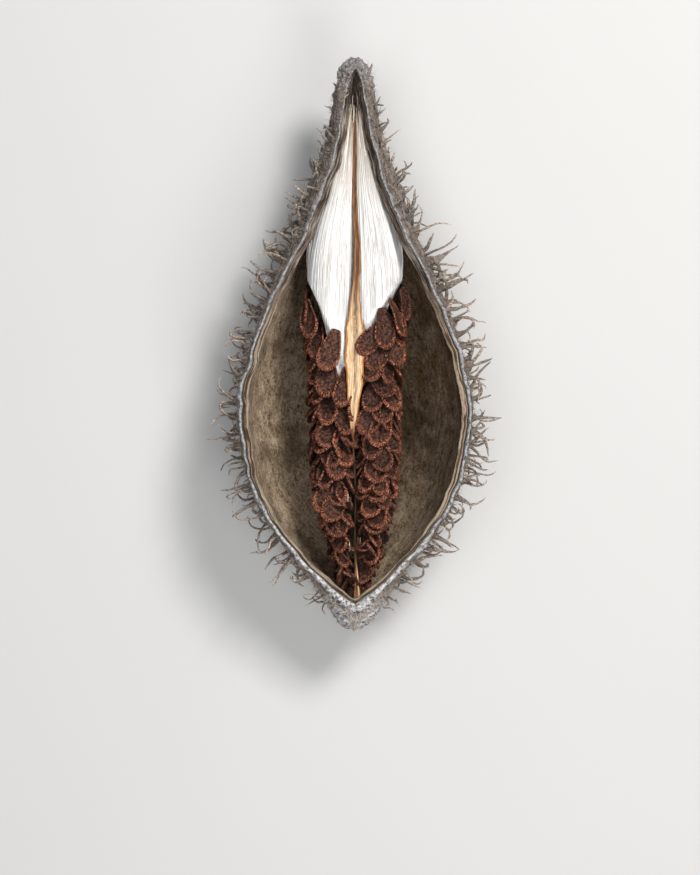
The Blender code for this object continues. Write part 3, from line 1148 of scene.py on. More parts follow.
    @staticmethod
    def _note(mesh: bpy.types.Mesh, points: np.ndarray, at: ShellPlaces) -> None:
        """Keep what the husk's material reads.

        Args:
            mesh: The shell.
            points: Its finished points.
            at: Their places.
        """
        d, lip, on_lip, outside = points[:, 1], at.lip, at.on_lip, at.outside
        past_felt = lip - at.felt(d)
        skin_rim = np.exp(-(at.from_lip / 0.55) ** 2) * (1 - 0.55 * at.upper)
        low_pale = np.where(on_lip, 1 - ease(-0.04, 0.04, past_felt), skin_rim)
        high_pale = np.where(on_lip, at.pale_ridge, skin_rim * 0.5)
        pale = at.low_and_high(low_pale, high_pale)
        pale = np.where(outside, np.maximum(pale, np.maximum(at.ends, 0.5 * at.tip)), pale)
        # Painted shade in the groove beside the felt, on the base's half.
        groove_shade = ease(-0.02, 0.04, past_felt) * (1 - ease(0.10, 0.17, past_felt)) * on_lip
        lining_rim = np.where(on_lip, ease(0.10, 0.18, past_felt),
                              np.where(outside, 0.0, 1 - ease(0.2, 2.4, at.from_lip)))
        skirt = 0.75 * ease(0.2, 0.7, at.from_lip) * (1 - ease(1.2, 3.6, at.from_lip))
        # banded: where the band goes, its darkness partly painted shade.
        banded = np.where(on_lip, ease(0.20, 0.34, lip),
                          np.where(outside, skirt * (1 - at.tip),
                                   1 - ease(1.5, 5.0, at.from_lip)))
        banded = np.where(outside, banded, np.maximum(banded, ease(86.0, 94.0, d)))
        # Painted shade: the right wall's lining, darker from the base up.
        stain = np.where(points[:, 0] > 0, ease(4.0, 50.0, d), 0.0) * 0.9
        for name, values in (
                ("pale", pale), ("inside", ease(0.04, 0.10, past_felt)),
                ("groove", groove_shade * (1 - at.upper) * 0.9), ("edge", lining_rim * (1 - at.upper)),
                ("band", banded * at.upper), ("around", at.around), ("along", d),
                ("turn", at.across * 6), ("stain", stain)):
            write_values(mesh, name, values)

    def _scatter(self, chooser: np.random.Generator, spacing: float
                 ) -> tuple[np.ndarray, np.ndarray]:
        """Find even but unruly places over the outer skin.

        Args:
            chooser: Makes them unruly.
            spacing: About how far apart they are.

        Returns:
            Their across, from -1 to 1, and their d.
        """
        places = []
        d_rows = np.arange(4.0, 97.5, spacing * 0.87)
        for number, d in enumerate(d_rows):
            _, half_width, _, lip = self.shape.section(np.array([d]))
            arc = 2 * lip[0] * half_width[0]
            count = max(3, round(arc / spacing))
            shift = 0.5 * (number % 2)
            turns = (np.arange(count) + shift + chooser.uniform(-0.3, 0.3, count)) / count
            along = d + chooser.uniform(-0.33, 0.33, count) * spacing
            places.append(np.stack([turns * 2 - 1, along], axis=1))
        found = np.concatenate(places)
        found = found[(np.abs(found[:, 0]) < 0.975) & (found[:, 1] > 3.5) & (found[:, 1] < 97.6)]
        return found[:, 0], found[:, 1]

    def spines(self) -> bpy.types.Mesh:
        """The soft curled spines.

        Returns:
            Their mesh.
        """
        chooser = np.random.default_rng(self.seed)
        across, d = self._scatter(chooser, self.spine_spacing)
        start = self.shape.point(across, d)
        keep = start[:, 2] > 0.9
        across, d, start = across[keep], d[keep], start[keep]
        count = len(d)
        out = self.shape.outwards(across, d)
        upper = ease(52, 80, d)
        size = np.minimum(ease(-8, 14, d), 1 - 0.66 * ease(60, 95, d))
        length = chooser.triangular(*self.spine_length, count)
        length = length * (0.15 + 0.85 * size)
        tipward = np.tile((0.0, 1.0, 0.0), (count, 1))
        sideways = np.cross(out, tipward)
        heading = chooser.normal(0.2, 1.0 - 0.45 * upper, count)[:, None]
        lean = unit_rows(tipward * np.cos(heading) + sideways * np.sin(heading))
        lean = unit_rows(lean - out * np.sum(lean * out, 1, keepdims=True))
        axis = np.cross(out, lean)
        rows = self.spine_rows
        ahead = self._turned(out, axis, chooser.normal(0.15, 0.35, count) + 0.55 * upper)
        total = chooser.choice((-1.0, 1.0, 1.0), count) * chooser.uniform(0.8, 4.6, count)
        total *= 1 - 0.45 * upper
        late = chooser.uniform(0.2, 2.2, count)
        paths = np.empty((count, rows, 3))
        spot = start - out * 0.35
        step = length / (rows - 1)
        for k in range(rows):
            paths[:, k] = spot
            spot = spot + ahead * step[:, None]
            share = ((k + 0.5) / rows) ** late * (late + 1)
            bend = total * share / rows + chooser.normal(0.0, 0.24, count)
            ahead = self._turned(ahead, axis, bend)
            axis = self._turned(axis, ahead, chooser.normal(0.0, 0.30, count))
        paths[:, :, 2] = np.maximum(paths[:, :, 2], 0.22)
        t = np.linspace(0, 1, rows)
        taper = 0.42 * np.exp(-t * 9.0) + 0.26 * (1 - t**6.0) * (1 - 0.30 * t) + 0.05
        girth = chooser.uniform(0.7, 1.35, count) * (0.6 + 0.4 * size)
        knots = 1 + chooser.normal(0.0, 0.10, (count, rows))
        radii = taper[None, :] * girth[:, None] * knots
        mesh = strand_mesh("husk_spines", paths, radii, self.spine_sides, self.spine_flatness)
        write_values(mesh, "tint", per_strand(chooser.random(count), mesh))
        return mesh

    @staticmethod
    def _turned(vectors: np.ndarray, axes: np.ndarray, angles: np.ndarray) -> np.ndarray:
        """Turn each vector about its own axis.

        Args:
            vectors: The vectors.
            axes: The axes.
            angles: By how much.

        Returns:
            The turned vectors.
        """
        axes = unit_rows(axes)
        cos, sin = np.cos(angles)[:, None], np.sin(angles)[:, None]
        along = axes * np.sum(axes * vectors, 1, keepdims=True)
        return vectors * cos + np.cross(axes, vectors) * sin + along * (1 - cos)

    def wool(self) -> bpy.types.Mesh:
        """Short loose fibres over the outer skin, thickest on the lips and the base.

        Returns:
            Their mesh.
        """
        chooser = np.random.default_rng(self.seed + 1)
        count = self.wool_strands
        d = chooser.uniform(0.6, 99.2, count)
        on_edge = chooser.random(count) < self.wool_on_lips
        across = chooser.uniform(-1, 1, count)
        across = np.where(on_edge, np.sign(across) * (1 - np.abs(chooser.normal(0, 0.03, count))),
                          across)
        base = chooser.random(count) < self.wool_on_base
        d = np.where(base, chooser.uniform(0.4, 8.0, count), d)
        start = self.shape.point(across, d)
        out = self.shape.outwards(across, d)
        keep = start[:, 2] > 0.5
        start, out, count = start[keep], out[keep], int(keep.sum())
        rows = len(self.wool_taper)
        length = chooser.uniform(*self.wool_length, count)
        heading = unit_rows(out * chooser.uniform(0.15, 0.9, count)[:, None]
                            + chooser.normal(0, 0.6, (count, 3)))
        curl = chooser.normal(0, 0.35, (count, 3))
        paths = np.empty((count, rows, 3))
        spot = start + out * 0.05
        for k in range(rows):
            paths[:, k] = spot
            spot = spot + heading * (length / (rows - 1))[:, None]
            heading = unit_rows(heading + curl + out * 0.02)
        paths[:, :, 2] = np.maximum(paths[:, :, 2], 0.06)
        thick = chooser.uniform(*self.wool_thickness, count)
        mesh = strand_mesh("husk_wool", paths, np.outer(thick, self.wool_taper), 3)
        low = 1 - ease(3.0, 9.0, read_points(mesh)[:, 1])
        write_values(mesh, "reach", 0.55 + 0.45 * read_values(mesh, "reach") + 0.9 * low)
        write_values(mesh, "tint", per_strand(chooser.random(count), mesh))
        return mesh


# --- the two lobes ----------------------------------------------------------------------------


@dataclass(frozen=True)
class LobeShape:
    """The outline of the two lobes of seeds and silk."""

    half_width: Profile = Profile((
        (6.0, 1.5), (9.4, 3.0), (15.0, 5.4), (23.0, 7.2), (32.0, 8.1), (44.0, 8.35),
        (58.0, 8.2), (64.0, 7.8), (68.0, 7.1), (77.0, 4.4), (83.0, 2.85), (88.0, 1.75),
        (91.0, 1.05), (93.0, 0.55), (96.0, 0.4)))
    height: Profile = Profile((
        (6.0, 15.8), (16.0, 15.2), (30.0, 14.3), (46.0, 14.2), (62.0, 14.6),
        (76.0, 16.0), (88.0, 17.2), (96.0, 18.0)))
    depth_ratio: float = 0.93
    clear: float = 0.28
    square_inside: float = 0.62
    square_outside: float = 0.78
    seed_top: float = 60.4
    begin_slope: tuple[float, float] = (2.25, 1.3)

    def section(self, d: np.ndarray | float
                ) -> tuple[np.ndarray, np.ndarray, np.ndarray, np.ndarray]:
        """The right lobe's cross-section.

        Args:
            d: Distances from the base.

        Returns:
            The section's middle x, middle z, half width and half depth.
        """
        mass = self.half_width.at(d)
        half = (mass - self.clear) / 2
        return half + self.clear, self.height.at(d), half, mass * self.depth_ratio

    def direction(self, angle: np.ndarray | float) -> tuple[np.ndarray, np.ndarray]:
        """A direction in a section of unit size.

        Args:
            angle: The angle from straight up.

        Returns:
            The direction's x and z.
        """
        across, up = np.sin(angle), np.cos(angle)
        power = np.where(across < 0, self.square_inside, self.square_outside)
        return np.sign(across) * np.abs(across) ** power, np.sign(up) * np.abs(up) ** power

    def point(self, side: Side, angle: np.ndarray | float, d: np.ndarray | float,
              offset: np.ndarray | float = 0.0) -> np.ndarray:
        """Points of a lobe's surface, or off it.

        Args:
            side: Which lobe.
            angle: Angles round the section, from straight up.
            d: Distances from the base.
            offset: How far off the surface.

        Returns:
            The points.
        """
        middle, height, half, deep = self.section(d)
        across, up = self.direction(angle)
        x = middle + np.maximum(half + offset, 0.05) * across
        z = height + np.maximum(deep + offset, 0.05) * up
        return np.stack(np.broadcast_arrays(side.value * x, d, z), axis=-1)

    def front(self, d: np.ndarray | float) -> np.ndarray:
        """Height of the front of the lobes."""
        _, height, _, deep = self.section(d)
        return height + deep

    def seeds_begin(self, side: Side, angle: np.ndarray, d: np.ndarray | float) -> np.ndarray:
        """Find where the silk ends and the seeds begin.

        Args:
            side: Which lobe.
            angle: Angles round the section.
            d: Where the section is taken.

        Returns:
            The d below which seeds cover the lobe.
        """
        _, _, half, _ = self.section(d)
        inwards = half - half * self.direction(angle)[0]
        slope = self.begin_slope[0] if side is Side.LEFT else self.begin_slope[1]
        return np.where(np.abs(angle) > math.pi / 2 + 0.3, self.seed_top,
                        self.seed_top - slope * inwards)

    def arc_angles(self, d: float, start: float, lengths: np.ndarray) -> np.ndarray:
        """Angles at lengths round the section.

        Args:
            d: Where the section is taken.
            start: The angle at length 0.
            lengths: The lengths.

        Returns:
            The angles.
        """
        angles = np.linspace(start, start + 2 * math.pi, 700)
        points = self.point(Side.RIGHT, angles, d)
        run = np.concatenate([[0.0], np.cumsum(np.linalg.norm(np.diff(points, axis=0), axis=1))])
        return np.interp(lengths, run, angles)


@dataclass(frozen=True)
class SeedShape:
    """One flat seed: narrow and cut off above, round below, with a corky rim.

    The rings run from the middle of its face to the middle of its back.
    """

    segments: int
    rings: tuple[tuple[float, float, float], ...]   # (how far out, height, share of the rim)

    def mesh_points(self, bm: bmesh.types.BMesh, width: float, length: float,
                    chooser: random.Random) -> tuple[np.ndarray, np.ndarray, np.ndarray]:
        """Shape a new seed on a sphere's points.

        Args:
            bm: Holds one sphere, as template made it.
            width: The seed's width.
            length: Its length.
            chooser: Gives this seed its own form.

        Returns:
            Its points across, along and out, its share of the rim, and the run round it.
        """
        ball = np.array([vert.co for vert in bm.verts])
        polar = np.arccos(np.clip(ball[:, 2], -1, 1))
        ring = np.rint(polar / math.pi * (len(self.rings) - 1)).astype(int)
        turn = np.arctan2(ball[:, 0], -ball[:, 1])
        out, height, rim = (np.array([row[k] for row in self.rings])[ring] for k in range(3))
        lower = 0.5 + 0.5 * np.cos(turn)
        thick = 0.22 + 0.78 * ease(0.30, 0.92, lower)
        spread = np.where((out > 0.5) & (out < 0.97), (0.93 - out) * (1 - thick) * 0.72, 0.0)
        out = out + spread
        taper = 1 - 0.46 * ease(0.0, 1.0, 1 - lower) ** 1.15
        blunt = np.abs(np.sin(turn)) ** (1 - 0.60 * (1 - lower) ** 2)
        across = np.sign(np.sin(turn)) * blunt * taper * 0.5 * width * out
        along = np.cos(turn) * 0.5 * length * out
        wavy = np.array([noise.noise(Vector((math.cos(t) * 1.3, math.sin(t) * 1.3,
                                             self.segments * 0.1))) for t in turn])
        crest = 1 + 0.16 * thick * np.cos(turn * (self.segments // 2)) * (self.segments > 20)
        form = chooser.uniform(-0.04, 0.09)
        bowl = form * (across**2 - 2.0) + chooser.uniform(-0.015, 0.02) * (along**2 - 6.0)
        rise = np.where(rim > 0.1, height * (0.30 + 0.70 * thick) * crest, height)
        edge = chooser.uniform(0.2, 0.6) * wavy * out**2
        points = np.stack([across, along, rise + bowl + edge], axis=1)
        run = turn * 0.5 * 0.5 * (width + length)
        return points, rim * (0.55 + 0.45 * thick), run

    def template(self) -> bmesh.types.BMesh:
        """A sphere whose rings become the seed's.

        Returns:
            The sphere.
        """
        bm = bmesh.new()
        bmesh.ops.create_uvsphere(bm, u_segments=self.segments,
                                  v_segments=len(self.rings) - 1, radius=1)
        return bm


FINE_SEED = SeedShape(84, (
    (0.0, 0.02, 0.0), (0.30, 0.07, 0.0), (0.50, -0.03, 0.0), (0.66, -0.04, 0.1),
    (0.73, 0.18, 0.6), (0.80, 0.37, 1.0), (0.89, 0.42, 1.0), (0.965, 0.27, 1.0),
    (1.0, 0.02, 0.6), (0.95, -0.14, 0.0), (0.70, -0.14, 0.0), (0.0, -0.12, 0.0)))
PLAIN_SEED = SeedShape(16, (
    (0.0, 0.02, 0.0), (0.62, 0.0, 0.2), (0.82, 0.38, 1.0), (1.0, 0.03, 0.6),
    (0.80, -0.14, 0.0), (0.0, -0.12, 0.0)))


@dataclass
class Seeds:
    """The seeds of one lobe, in rows like shingles."""

    side: Side
    lobe: LobeShape
    ruler: Ruler
    rows: int = 23
    pitch: float = 2.1
    spacing: float = 4.45
    width: float = 4.8
    length: float = 7.5
    start: float = -1.75
    end: float = 2.45
    fine_from: float = -1.2
    fine_to: float = 1.25
    middle_drop: float = 3.0

    def build(self, material: bpy.types.Material) -> None:
        """Make and dress every row.

        Args:
            material: The seeds' material.
        """
        for number in range(self.rows):
            place = f"{self.side.word}_{number + 1:02d}"
            dress(f"seeds_{place}", self.row(number), material,
                  [f"seed_row_{place}"], self.ruler)

    def places(self, number: int) -> list[float]:
        """Find where a row has its seeds.

        Args:
            number: The row, counted from the tip's end.

        Returns:
            Their angles round the lobe.
        """
        top = self.lobe.seed_top - number * self.pitch
        at = top - self.middle_drop
        chooser = np.random.default_rng(100 * number + self.side.value + 1)
        shift = 0.5 * self.spacing * ((number + 1) % 2) + chooser.uniform(-0.5, 0.5)
        run = shift + np.arange(9) * self.spacing + 0.5 * self.spacing
        run += chooser.uniform(-0.7, 0.7, 9)
        angles = self.lobe.arc_angles(at, self.start, run)
        begin = self.lobe.seeds_begin(self.side, angles, at)
        return [float(a) for a, b in zip(angles, begin) if a < self.end and b >= top - 1.1]

    def row(self, number: int) -> bpy.types.Mesh:
        """One row of seeds.

        Args:
            number: The row, counted from the tip's end.

        Returns:
            Its mesh.
        """
        chooser = random.Random(f"{self.side.word}{number}")
        bm = bmesh.new()
        names = ("rim", "run", "tint", "shut")
        layers = [bm.verts.layers.float.new(name) for name in names]
        rows = [number] if number < self.rows - 1 else [number, number + 1, number + 2]
        for row, angle in ((row, angle) for row in rows for angle in self.places(row)):
            top = self.lobe.seed_top - row * self.pitch
            low = float(1 - ease(12, 34, top))
            shape = FINE_SEED if self.fine_from < angle < self.fine_to else PLAIN_SEED
            seed = shape.template()
            size = chooser.uniform(0.90, 1.10) * (1 - 0.16 * low)
            local, rim, run = shape.mesh_points(
                seed, self.width * size, self.length * size, chooser)
            begin = float(self.lobe.seeds_begin(self.side, np.array(angle),
                                                top - self.middle_drop))
            deep = float(ease(-0.5 * self.pitch, 4.0 * self.pitch, begin - top))
            points = self._laid(local, angle, top, low, deep, chooser)
            tint = chooser.random()
            # Painted shade: the narrow end of a seed that lies under others goes dark.
            shut = deep * ease(-0.15, 0.75, -2 * local[:, 1] / self.length)
            mesh = finished(seed, "seed")
            before = len(bm.verts)
            bm.from_mesh(mesh)
            bpy.data.meshes.remove(mesh)
            bm.verts.ensure_lookup_table()
            for k, point in enumerate(points):
                vert = bm.verts[before + k]
                vert.co = point
                for layer, value in zip(layers, (rim[k], run[k], tint, shut[k])):
                    vert[layer] = value
        bmesh.ops.recalc_face_normals(bm, faces=bm.faces)
        return finished(bm, f"seeds_{self.side.word}_{number + 1:02d}")

    def _laid(self, local: np.ndarray, angle: float, top: float, low: float,
              deep: float, chooser: random.Random) -> np.ndarray:
        """Lay a seed on the lobe, its narrow end tucked under the seeds above.

        Args:
            local: Its points across, along and out.
            angle: Its angle round the lobe.
            top: d of its narrow end.
            low: 0 to 1 towards the base, where seeds stand steeper.
            deep: 0 for a seed that lies on the silk, to 1 well below it.
            chooser: Gives it its own tilt.

        Returns:
            Its points on the lobe.
        """
        d = max(top - 0.5 * self.length * (1 - 0.25 * low) + chooser.uniform(-0.7, 0.7), 8.0)
        step = 0.5
        along = (self.lobe.point(self.side, angle, d - step)
                 - self.lobe.point(self.side, angle, d + step))
        turn = (self.lobe.point(self.side, angle + 0.05, d)
                - self.lobe.point(self.side, angle - 0.05, d))
        along, turn = (part / np.linalg.norm(part) for part in (along, turn))
        out = np.cross(along, turn) * self.side.value
        spin = chooser.gauss(0.0, 0.38) + 0.10 * self.side.value * math.sin(angle)
        along, turn = (along * math.cos(spin) + turn * math.sin(spin),
                       turn * math.cos(spin) - along * math.sin(spin))
        slope = math.radians(2 + 26 * deep + 22 * low)
        slope += chooser.gauss(0.0, 0.10) * (0.4 + 0.6 * deep)
        along, out = (along * math.cos(slope) + out * math.sin(slope),
                      out * math.cos(slope) - along * math.sin(slope))
        roll = chooser.gauss(0.0, 0.24)
        turn, out = (turn * math.cos(roll) + out * math.sin(roll),
                     out * math.cos(roll) - turn * math.sin(roll))
        sunk = 0.5 * self.length * math.sin(slope) - 0.05 - 0.95 * (1 - deep)
        centre = self.lobe.point(self.side, angle, d, -sunk)
        return (centre + local[:, :1] * turn + local[:, 1:2] * along + local[:, 2:3] * out)


@dataclass
class Silk:
    """The silk of one lobe: a full body with strands over it."""

    side: Side
    lobe: LobeShape
    ruler: Ruler
    low: float = 24.0
    high: float = 93.8
    around: int = 96
    rows: int = 170
    strands: int = 420
    caught: int = 3
    seed: int = 5

    def build(self, material: bpy.types.Material) -> None:
        """Make and dress the body and its strands.

        Args:
            material: The silk's material.
        """
        node = f"floss_{self.side.word}"
        dress(f"silk_{self.side.word}", self.body(), material, [node], self.ruler)
        dress(f"silk_strands_{self.side.word}", self.loose(), material, [node],
              self.ruler)

    def _above_seeds(self, angle: np.ndarray, d: np.ndarray) -> np.ndarray:
        """How far d is above the place where the seeds begin."""
        return d - self.lobe.seeds_begin(self.side, angle, d)

    def _sink(self, above: np.ndarray) -> np.ndarray:
        """How deep the silk lies there, so that it runs in under the seeds."""
        return 1.4 * (1 - ease(-0.5, 1.2, above)) + 2.6 * (1 - ease(-5.5, -1.0, above))

    def body(self) -> bpy.types.Mesh:
        """The full body, with ridges that run in towards the tip.

        Returns:
            Its mesh.
        """
        bm = tube_template(self.around, self.rows)
        ball = np.array([vert.co for vert in bm.verts])
        d = self.low + (self.high - self.low) * (ball[:, 2] + 1) / 2
        angle = np.arctan2(ball[:, 0], ball[:, 1])
        above = self._above_seeds(angle, d)
        sink = self._sink(above)
        ridged = np.stack([np.sin(angle) * 4.5, np.cos(angle) * 4.5, d * 0.045], axis=1)
        ridges = (lumps(ridged, 0.42, 3, 4.0 + self.side.value)
                  + 0.7 * lumps(ridged * (1, 1, 2.0), 1.5, 2, 9.0))
        room = np.minimum(1.0, self.lobe.half_width.at(d) / 5.0)
        offset = ridges * 0.22 * room - sink + 0.12 * room - 1.0 * ease(87.0, self.high, d)
        points = self.lobe.point(self.side, angle, d, offset)
        mesh = finished(bm, "silk")
        write_points(mesh, points)
        # The silk well below where the seeds begin gets painted shade.
        self._note(mesh, angle, d, 1 - ease(-5.0, -3.2, above))
        face_outwards(mesh)
        return mesh

    def _note(self, mesh: bpy.types.Mesh, angle: np.ndarray, d: np.ndarray,
              under: np.ndarray) -> None:
        """Keep what the silk's material reads.

        Args:
            mesh: The mesh.
            angle: Its points' angles round the lobe.
            d: Their distances from the base.
            under: 1 where the silk runs in under the seeds, painted dark there as their shade.
        """
        write_values(mesh, "around", angle * 4.2)
        write_values(mesh, "along", d)
        write_values(mesh, "under", under)
        write_values(mesh, "straw", ease(70.0, 92.0, d))

    def loose(self) -> bpy.types.Mesh:
        """Fine strands that lie along the body, some of them a little off it.

        Returns:
            Their mesh.
        """
        chooser = np.random.default_rng(self.seed + self.side.value)
        count, rows = self.strands, 14
        angle = chooser.uniform(-1.35, 1.75, count)
        top = chooser.uniform(72.0, self.high - 1.5, count)
        begin = self.lobe.seeds_begin(self.side, angle, 58.0)
        bottom = np.maximum(begin - chooser.uniform(-0.6, 1.4, count), 36.0)
        bottom = np.where(chooser.random(count) < 0.5, chooser.uniform(58.0, 76.0, count), bottom)
        top = np.maximum(top, bottom + 8.0)
        caught = np.arange(count) < self.caught
        angle = np.where(caught, chooser.uniform(-1.35, -0.85, count), angle)
        bottom = np.where(caught, chooser.choice((35.5, 22.5, 14.0), count), bottom)
        bottom += caught * chooser.uniform(-1.0, 1.0, count)
        top = np.where(caught, bottom + chooser.uniform(1.0, 2.6, count), top)
        t = np.linspace(0, 1, rows)[None, :]
        d = bottom[:, None] + (np.minimum(top, self.high) - bottom)[:, None] * t
        sway = chooser.normal(0, 0.05, count)[:, None] * np.sin(
            t * chooser.uniform(2, 5, count)[:, None] + chooser.uniform(0, 6, count)[:, None])
        angles = angle[:, None] + sway
        lift = (0.10 + np.abs(chooser.normal(0, 0.09, count)))[:, None] * np.ones_like(t)
        lift = lift * np.minimum(1.0, self.lobe.half_width.at(d) / 4.0) + 0.10
        sink = self._sink(self._above_seeds(angles, d))
        lift = np.where(caught[:, None], -0.6, lift - sink)
        paths = self.lobe.point(self.side, angles, d, lift)
        stray = (angle > 1.15) & (chooser.random(count) < 0.55)
        bow = np.sin(math.pi * t) ** 2 * chooser.uniform(0.2, 1.1, count)[:, None]
        paths[..., 0] += self.side.value * np.where(stray[:, None], bow, 0.0)
        taper = 0.35 + 0.65 * np.sin(math.pi * np.clip(t, 0.03, 0.97)) ** 0.5
        thick = chooser.uniform(0.035, 0.075, count)[:, None]
        mesh = strand_mesh("silk_strands", paths, taper * thick, 3)
        per = len(mesh.vertices) // count
        self._note(mesh, np.repeat(angle + chooser.uniform(0, 2, count), per),
                   read_points(mesh)[:, 1], np.zeros(len(mesh.vertices)))
        return mesh


@dataclass
class Placenta:
    """The papery strip between the lobes and the web that runs in behind it."""

    lobe: LobeShape
    ruler: Ruler
    half_width: Profile = Profile((
        (5.2, 0.60), (9.0, 0.35), (14.0, 0.13), (33.0, 0.14), (36.5, 0.60), (40.5, 1.25),
        (46.0, 1.85), (51.0, 1.75), (56.0, 1.20), (60.0, 0.70), (70.0, 0.50), (84.0, 0.35),
        (90.0, 0.22), (93.0, 0.10)))
    proud: Profile = Profile((
        (5.0, -0.2), (10.0, -1.0), (14.0, -3.2), (30.0, -3.4), (34.5, -0.9), (40.0, 0.3),
        (54.0, 0.4), (60.0, 0.0), (72.0, -0.1), (88.0, 0.1), (93.0, -1.3)))
    low: float = 5.2
    high: float = 93.0
    rows: int = 220
    sides: int = 28
    thick: float = 0.32
    web_depth: float = 0.7

    def build(self) -> None:
        """Make and dress the strip."""
        material = PlacentaFinish().material()
        dress("placenta", self.strip(), material, ["placenta"], self.ruler)

    def strip(self) -> bpy.types.Mesh:
        """The strip: two low ridges with a seam between them, on a thin web.

        Returns:
            Its mesh.
        """
        bm = tube_template(self.sides, self.rows)
        ball = np.array([vert.co for vert in bm.verts])
        mesh = finished(bm, "placenta")
        d = self.low + (self.high - self.low) * (ball[:, 2] + 1) / 2
        turn = np.arctan2(ball[:, 0], ball[:, 1])
        wide = self.half_width.at(d) * (1 + 0.20 * lumps(
            np.stack([d, np.sign(turn) * 7, d * 0], axis=1), 3.0, 2))
        share = np.clip(turn / (0.62 * math.pi), -1, 1)
        under = np.abs(turn) > 0.62 * math.pi
        back = (math.pi - np.abs(turn)) / (0.38 * math.pi)
        x = np.where(under, np.sign(turn) * (0.12 + (wide - 0.12) * back**3), share * wide)
        off = 0.10 * np.sin(d * 0.5) + 0.05 * np.sin(d * 1.7)
        crack = 0.10 + 0.10 * ease(36, 44, d) + 0.20 * np.exp(-((d - 54.0) / 3.5) ** 2)
        seam = np.exp(-((share * wide - off) / crack) ** 2) * (~under)
        ridge = np.cos(np.clip(np.abs(share) - 0.45, -1, 1) * 2.2)
        curl = 0.20 * ridge * np.minimum(wide, 1.0)
        crinkle = 0.10 * lumps(np.stack([x * 3, d * 0.5, d * 0], axis=1), 0.9, 3, 8.0)
        top = self.lobe.front(d) + self.proud.at(d)
        deep = self.lobe.half_width.at(d) * self.web_depth
        z = np.where(under, top - self.thick - deep * (1 - back) ** 2,
                     top + curl + crinkle - 0.30 * seam)
        drift = 0.25 * np.sin(d * 0.11 + 0.7) + 0.15 * np.sin(d * 0.31)
        write_points(mesh, np.stack([x + drift, d, z], axis=1))
        face_outwards(mesh)
        write_values(mesh, "around", share * wide)
        write_values(mesh, "along", d)
        cream = ease(34.0, 37.0, d) * (1 - ease(53.0, 63.0, d))
        below = 1 - ease(8.0, 14.0, d)
        cream = np.maximum(cream, below * ease(-0.1, 0.3, share))
        write_values(mesh, "cream", cream)
        write_values(mesh, "brim", ease(0.45, 1.0, np.abs(share)))
        write_values(mesh, "seam", seam * ease(36.0, 44.0, d) * 0.85)
        write_values(mesh, "foot", (1 - ease(28.0, 35.0, d)) * (1 - below))
        return mesh


@dataclass
class Stalk:
    """The short recurved stalk under the base, cut off."""

    ruler: Ruler
    radius: float = 1.45
    route: tuple[tuple[float, float, float], ...] = (
        (4.6, 10.6, 1.75), (3.6, 9.5, 1.42), (2.6, 8.0, 1.12), (1.9, 6.4, 1.0),
        (1.6, 4.7, 0.96), (1.7, 3.1, 1.0), (2.0, 1.9, 1.06))
    rows: int = 60
    sides: int = 48

    def build(self) -> None:
        """Make and dress the stalk."""
        dress("stalk", self.stem(), StalkFinish().material(), ["stalk"], self.ruler)

    def stem(self) -> bpy.types.Mesh:
        """The stem, ribbed, with a cut end that is hollow in the middle.

        Returns:
            Its mesh.
        """
        bm = tube_template(self.sides, self.rows)
        cut = max((face for face in bm.faces if len(face.verts) == self.sides),
                  key=lambda face: face.calc_center_median().z)
        cut_layer = bm.verts.layers.float.new("cut")
        for share, sunk in ((0.86, 0.0), (0.55, 0.03), (0.34, 0.20), (0.10, 0.5)):
            cut = bmesh.ops.extrude_discrete_faces(bm, faces=[cut])["faces"][0]
            for vert in cut.verts:
                away = Vector((vert.co.x, vert.co.y, 0)).normalized()
                vert.co = (away.x * share, away.y * share, 1.0 - sunk * 0.25)
                vert[cut_layer] = 1.0
        shape = np.array([vert.co for vert in bm.verts])
        bmesh.ops.recalc_face_normals(bm, faces=bm.faces)
        mesh = finished(bm, "stalk")
        t = (shape[:, 2] + 1) / 2
        stops = np.linspace(0, 1, len(self.route))
        d_run, z_run, size_run = (Profile(tuple(zip(stops, column)))
                                  for column in zip(*self.route))
        d, z, size = d_run.at(t), z_run.at(t), size_run.at(t)
        ahead_d, ahead_z = d_run.at(t + 0.01) - d, z_run.at(t + 0.01) - z
        still = np.hypot(ahead_d, ahead_z) < 1e-6
        ahead_d, ahead_z = np.where(still, 0.25, ahead_d), np.where(still, -1.0, ahead_z)
        scale = np.hypot(ahead_d, ahead_z)
        across = np.stack([-ahead_z / scale, ahead_d / scale], axis=1)
        turn = np.arctan2(shape[:, 1], shape[:, 0])
        reach = np.hypot(shape[:, 0], shape[:, 1])
        ribs = 1 + 0.05 * np.cos(turn * 9) + 0.04 * lumps(
            np.stack([np.cos(turn) * 2, np.sin(turn) * 2, t * 5], axis=1), 0.5, 2)
        wide = self.radius * size * reach * ribs
        points = np.stack([wide * np.cos(turn), d + across[:, 0] * wide * np.sin(turn),
                           z + across[:, 1] * wide * np.sin(turn)], axis=1)
        points[:, 2] = np.maximum(points[:, 2], 0.3)
        write_points(mesh, points)
        write_values(mesh, "around", turn * self.radius)
        write_values(mesh, "along", t * 10)
        return mesh


# --- stage ------------------------------------------------------------------------------------


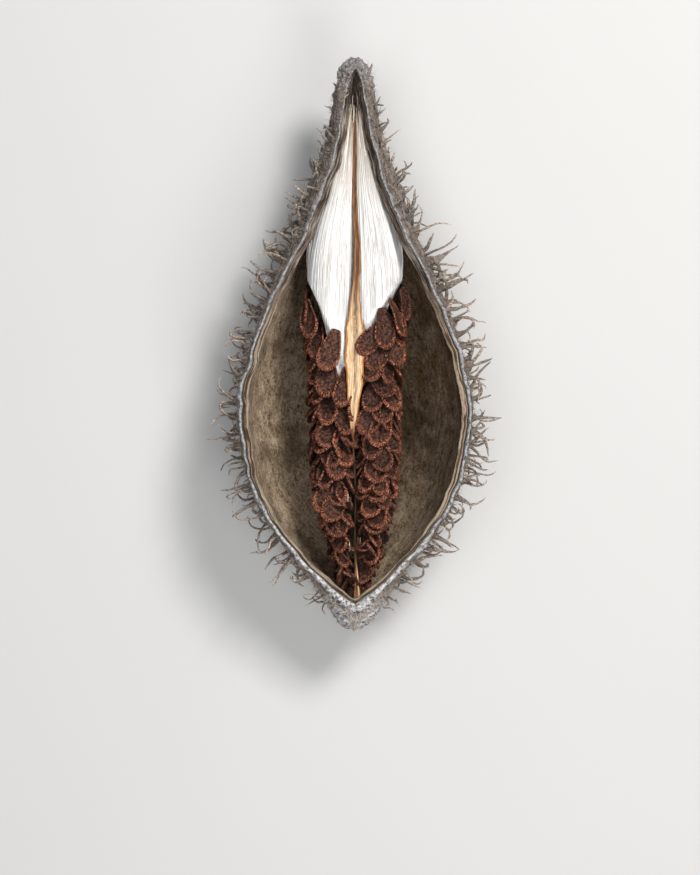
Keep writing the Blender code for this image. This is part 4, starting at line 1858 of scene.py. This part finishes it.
@dataclass
class Studio:
    """The floor, the lights and the camera, which looks straight down on the pod."""

    ruler: Ruler
    view_centre: tuple[float, float] = (-0.87, 33.7)
    view_height: float = 151.6
    lip_plane: float = 24.0
    lens: float = 100.0
    sensor: float = 36.0
    aim: tuple[float, float, float] = (0.0, 45.0, 10.0)
    room: Colour = (0.9, 0.93, 1.0)
    room_light: float = 0.15

    def build(self) -> None:
        """Set up the floor, lights, world and camera."""
        bpy.context.scene.view_settings.view_transform = "Standard"
        self._floor()
        self._light("key", (190, 300, 430), 140, 3.5, (1.0, 0.985, 0.965))
        self._light("fill", (-120, 30, 560), 300, 1.5, (0.95, 0.975, 1.0))
        self._light("low", (150, -240, 400), 240, 1.5, (1.0, 0.99, 0.97))
        world = bpy.data.worlds.new("soft_room")
        world.use_nodes = True
        background = world.node_tree.nodes["Background"].inputs
        background["Color"].default_value = (*self.room, 1.0)
        background["Strength"].default_value = self.room_light
        bpy.context.scene.world = world
        self._camera()

    def _at(self, x: float, d: float, z: float) -> Vector:
        """A point in the frame's metres."""
        metre = self.ruler.metre
        return Vector((x * metre, self.ruler.base_y + d * metre, z * metre))

    def _floor(self) -> None:
        """A floor under the pod, with its edges out of sight."""
        bm = bmesh.new()
        bmesh.ops.create_grid(bm, x_segments=8, y_segments=8, size=1.5)
        mesh = finished(bm, "floor")
        mesh.materials.append(FloorFinish().material())
        floor = bpy.data.objects.new("floor", mesh)
        bpy.context.scene.collection.objects.link(floor)

    def _light(self, name: str, spot: tuple[float, float, float], size: float, power: float,
               colour: Colour) -> None:
        """Add a square soft light that faces the middle of the pod.

        Args:
            name: Its name.
            spot: Where it is, in pod millimetres.
            size: The length of its side, in pod millimetres.
            power: Its power.
            colour: Its colour.
        """
        light = bpy.data.lights.new(name, "AREA")
        light.size = size * self.ruler.metre
        light.energy = power
        light.color = colour
        lamp = bpy.data.objects.new(name, light)
        lamp.location = self._at(*spot)
        aim = self._at(*self.aim) - lamp.location
        lamp.rotation_euler = aim.to_track_quat("-Z", "Y").to_euler()
        bpy.context.scene.collection.objects.link(lamp)

    def _camera(self) -> None:
        """A camera straight above, with the tip at the top of its picture."""
        camera = bpy.data.cameras.new("camera")
        camera.lens = self.lens
        camera.sensor_width = self.sensor
        camera.clip_start = 0.01
        seat = bpy.data.objects.new("camera", camera)
        away = self.view_height * self.lens / self.sensor
        seat.location = self._at(*self.view_centre, self.lip_plane + away)
        bpy.context.scene.collection.objects.link(seat)
        bpy.context.scene.camera = seat


def main() -> None:
    """Build the pod and its stage."""
    logging.basicConfig(level=logging.INFO, format="%(name)s: %(message)s")
    ruler = Ruler.from_frame()
    Studio(ruler).build()
    Husk(HuskShape(), ruler).build()
    lobe = LobeShape()
    seed_coat = SeedFinish().material()
    silk = SilkFinish().material()
    for side in Side:
        Seeds(side, lobe, ruler).build(seed_coat)
        Silk(side, lobe, ruler).build(silk)
    Placenta(lobe, ruler).build()
    Stalk(ruler).build()


if __name__ == "__main__":
    main()
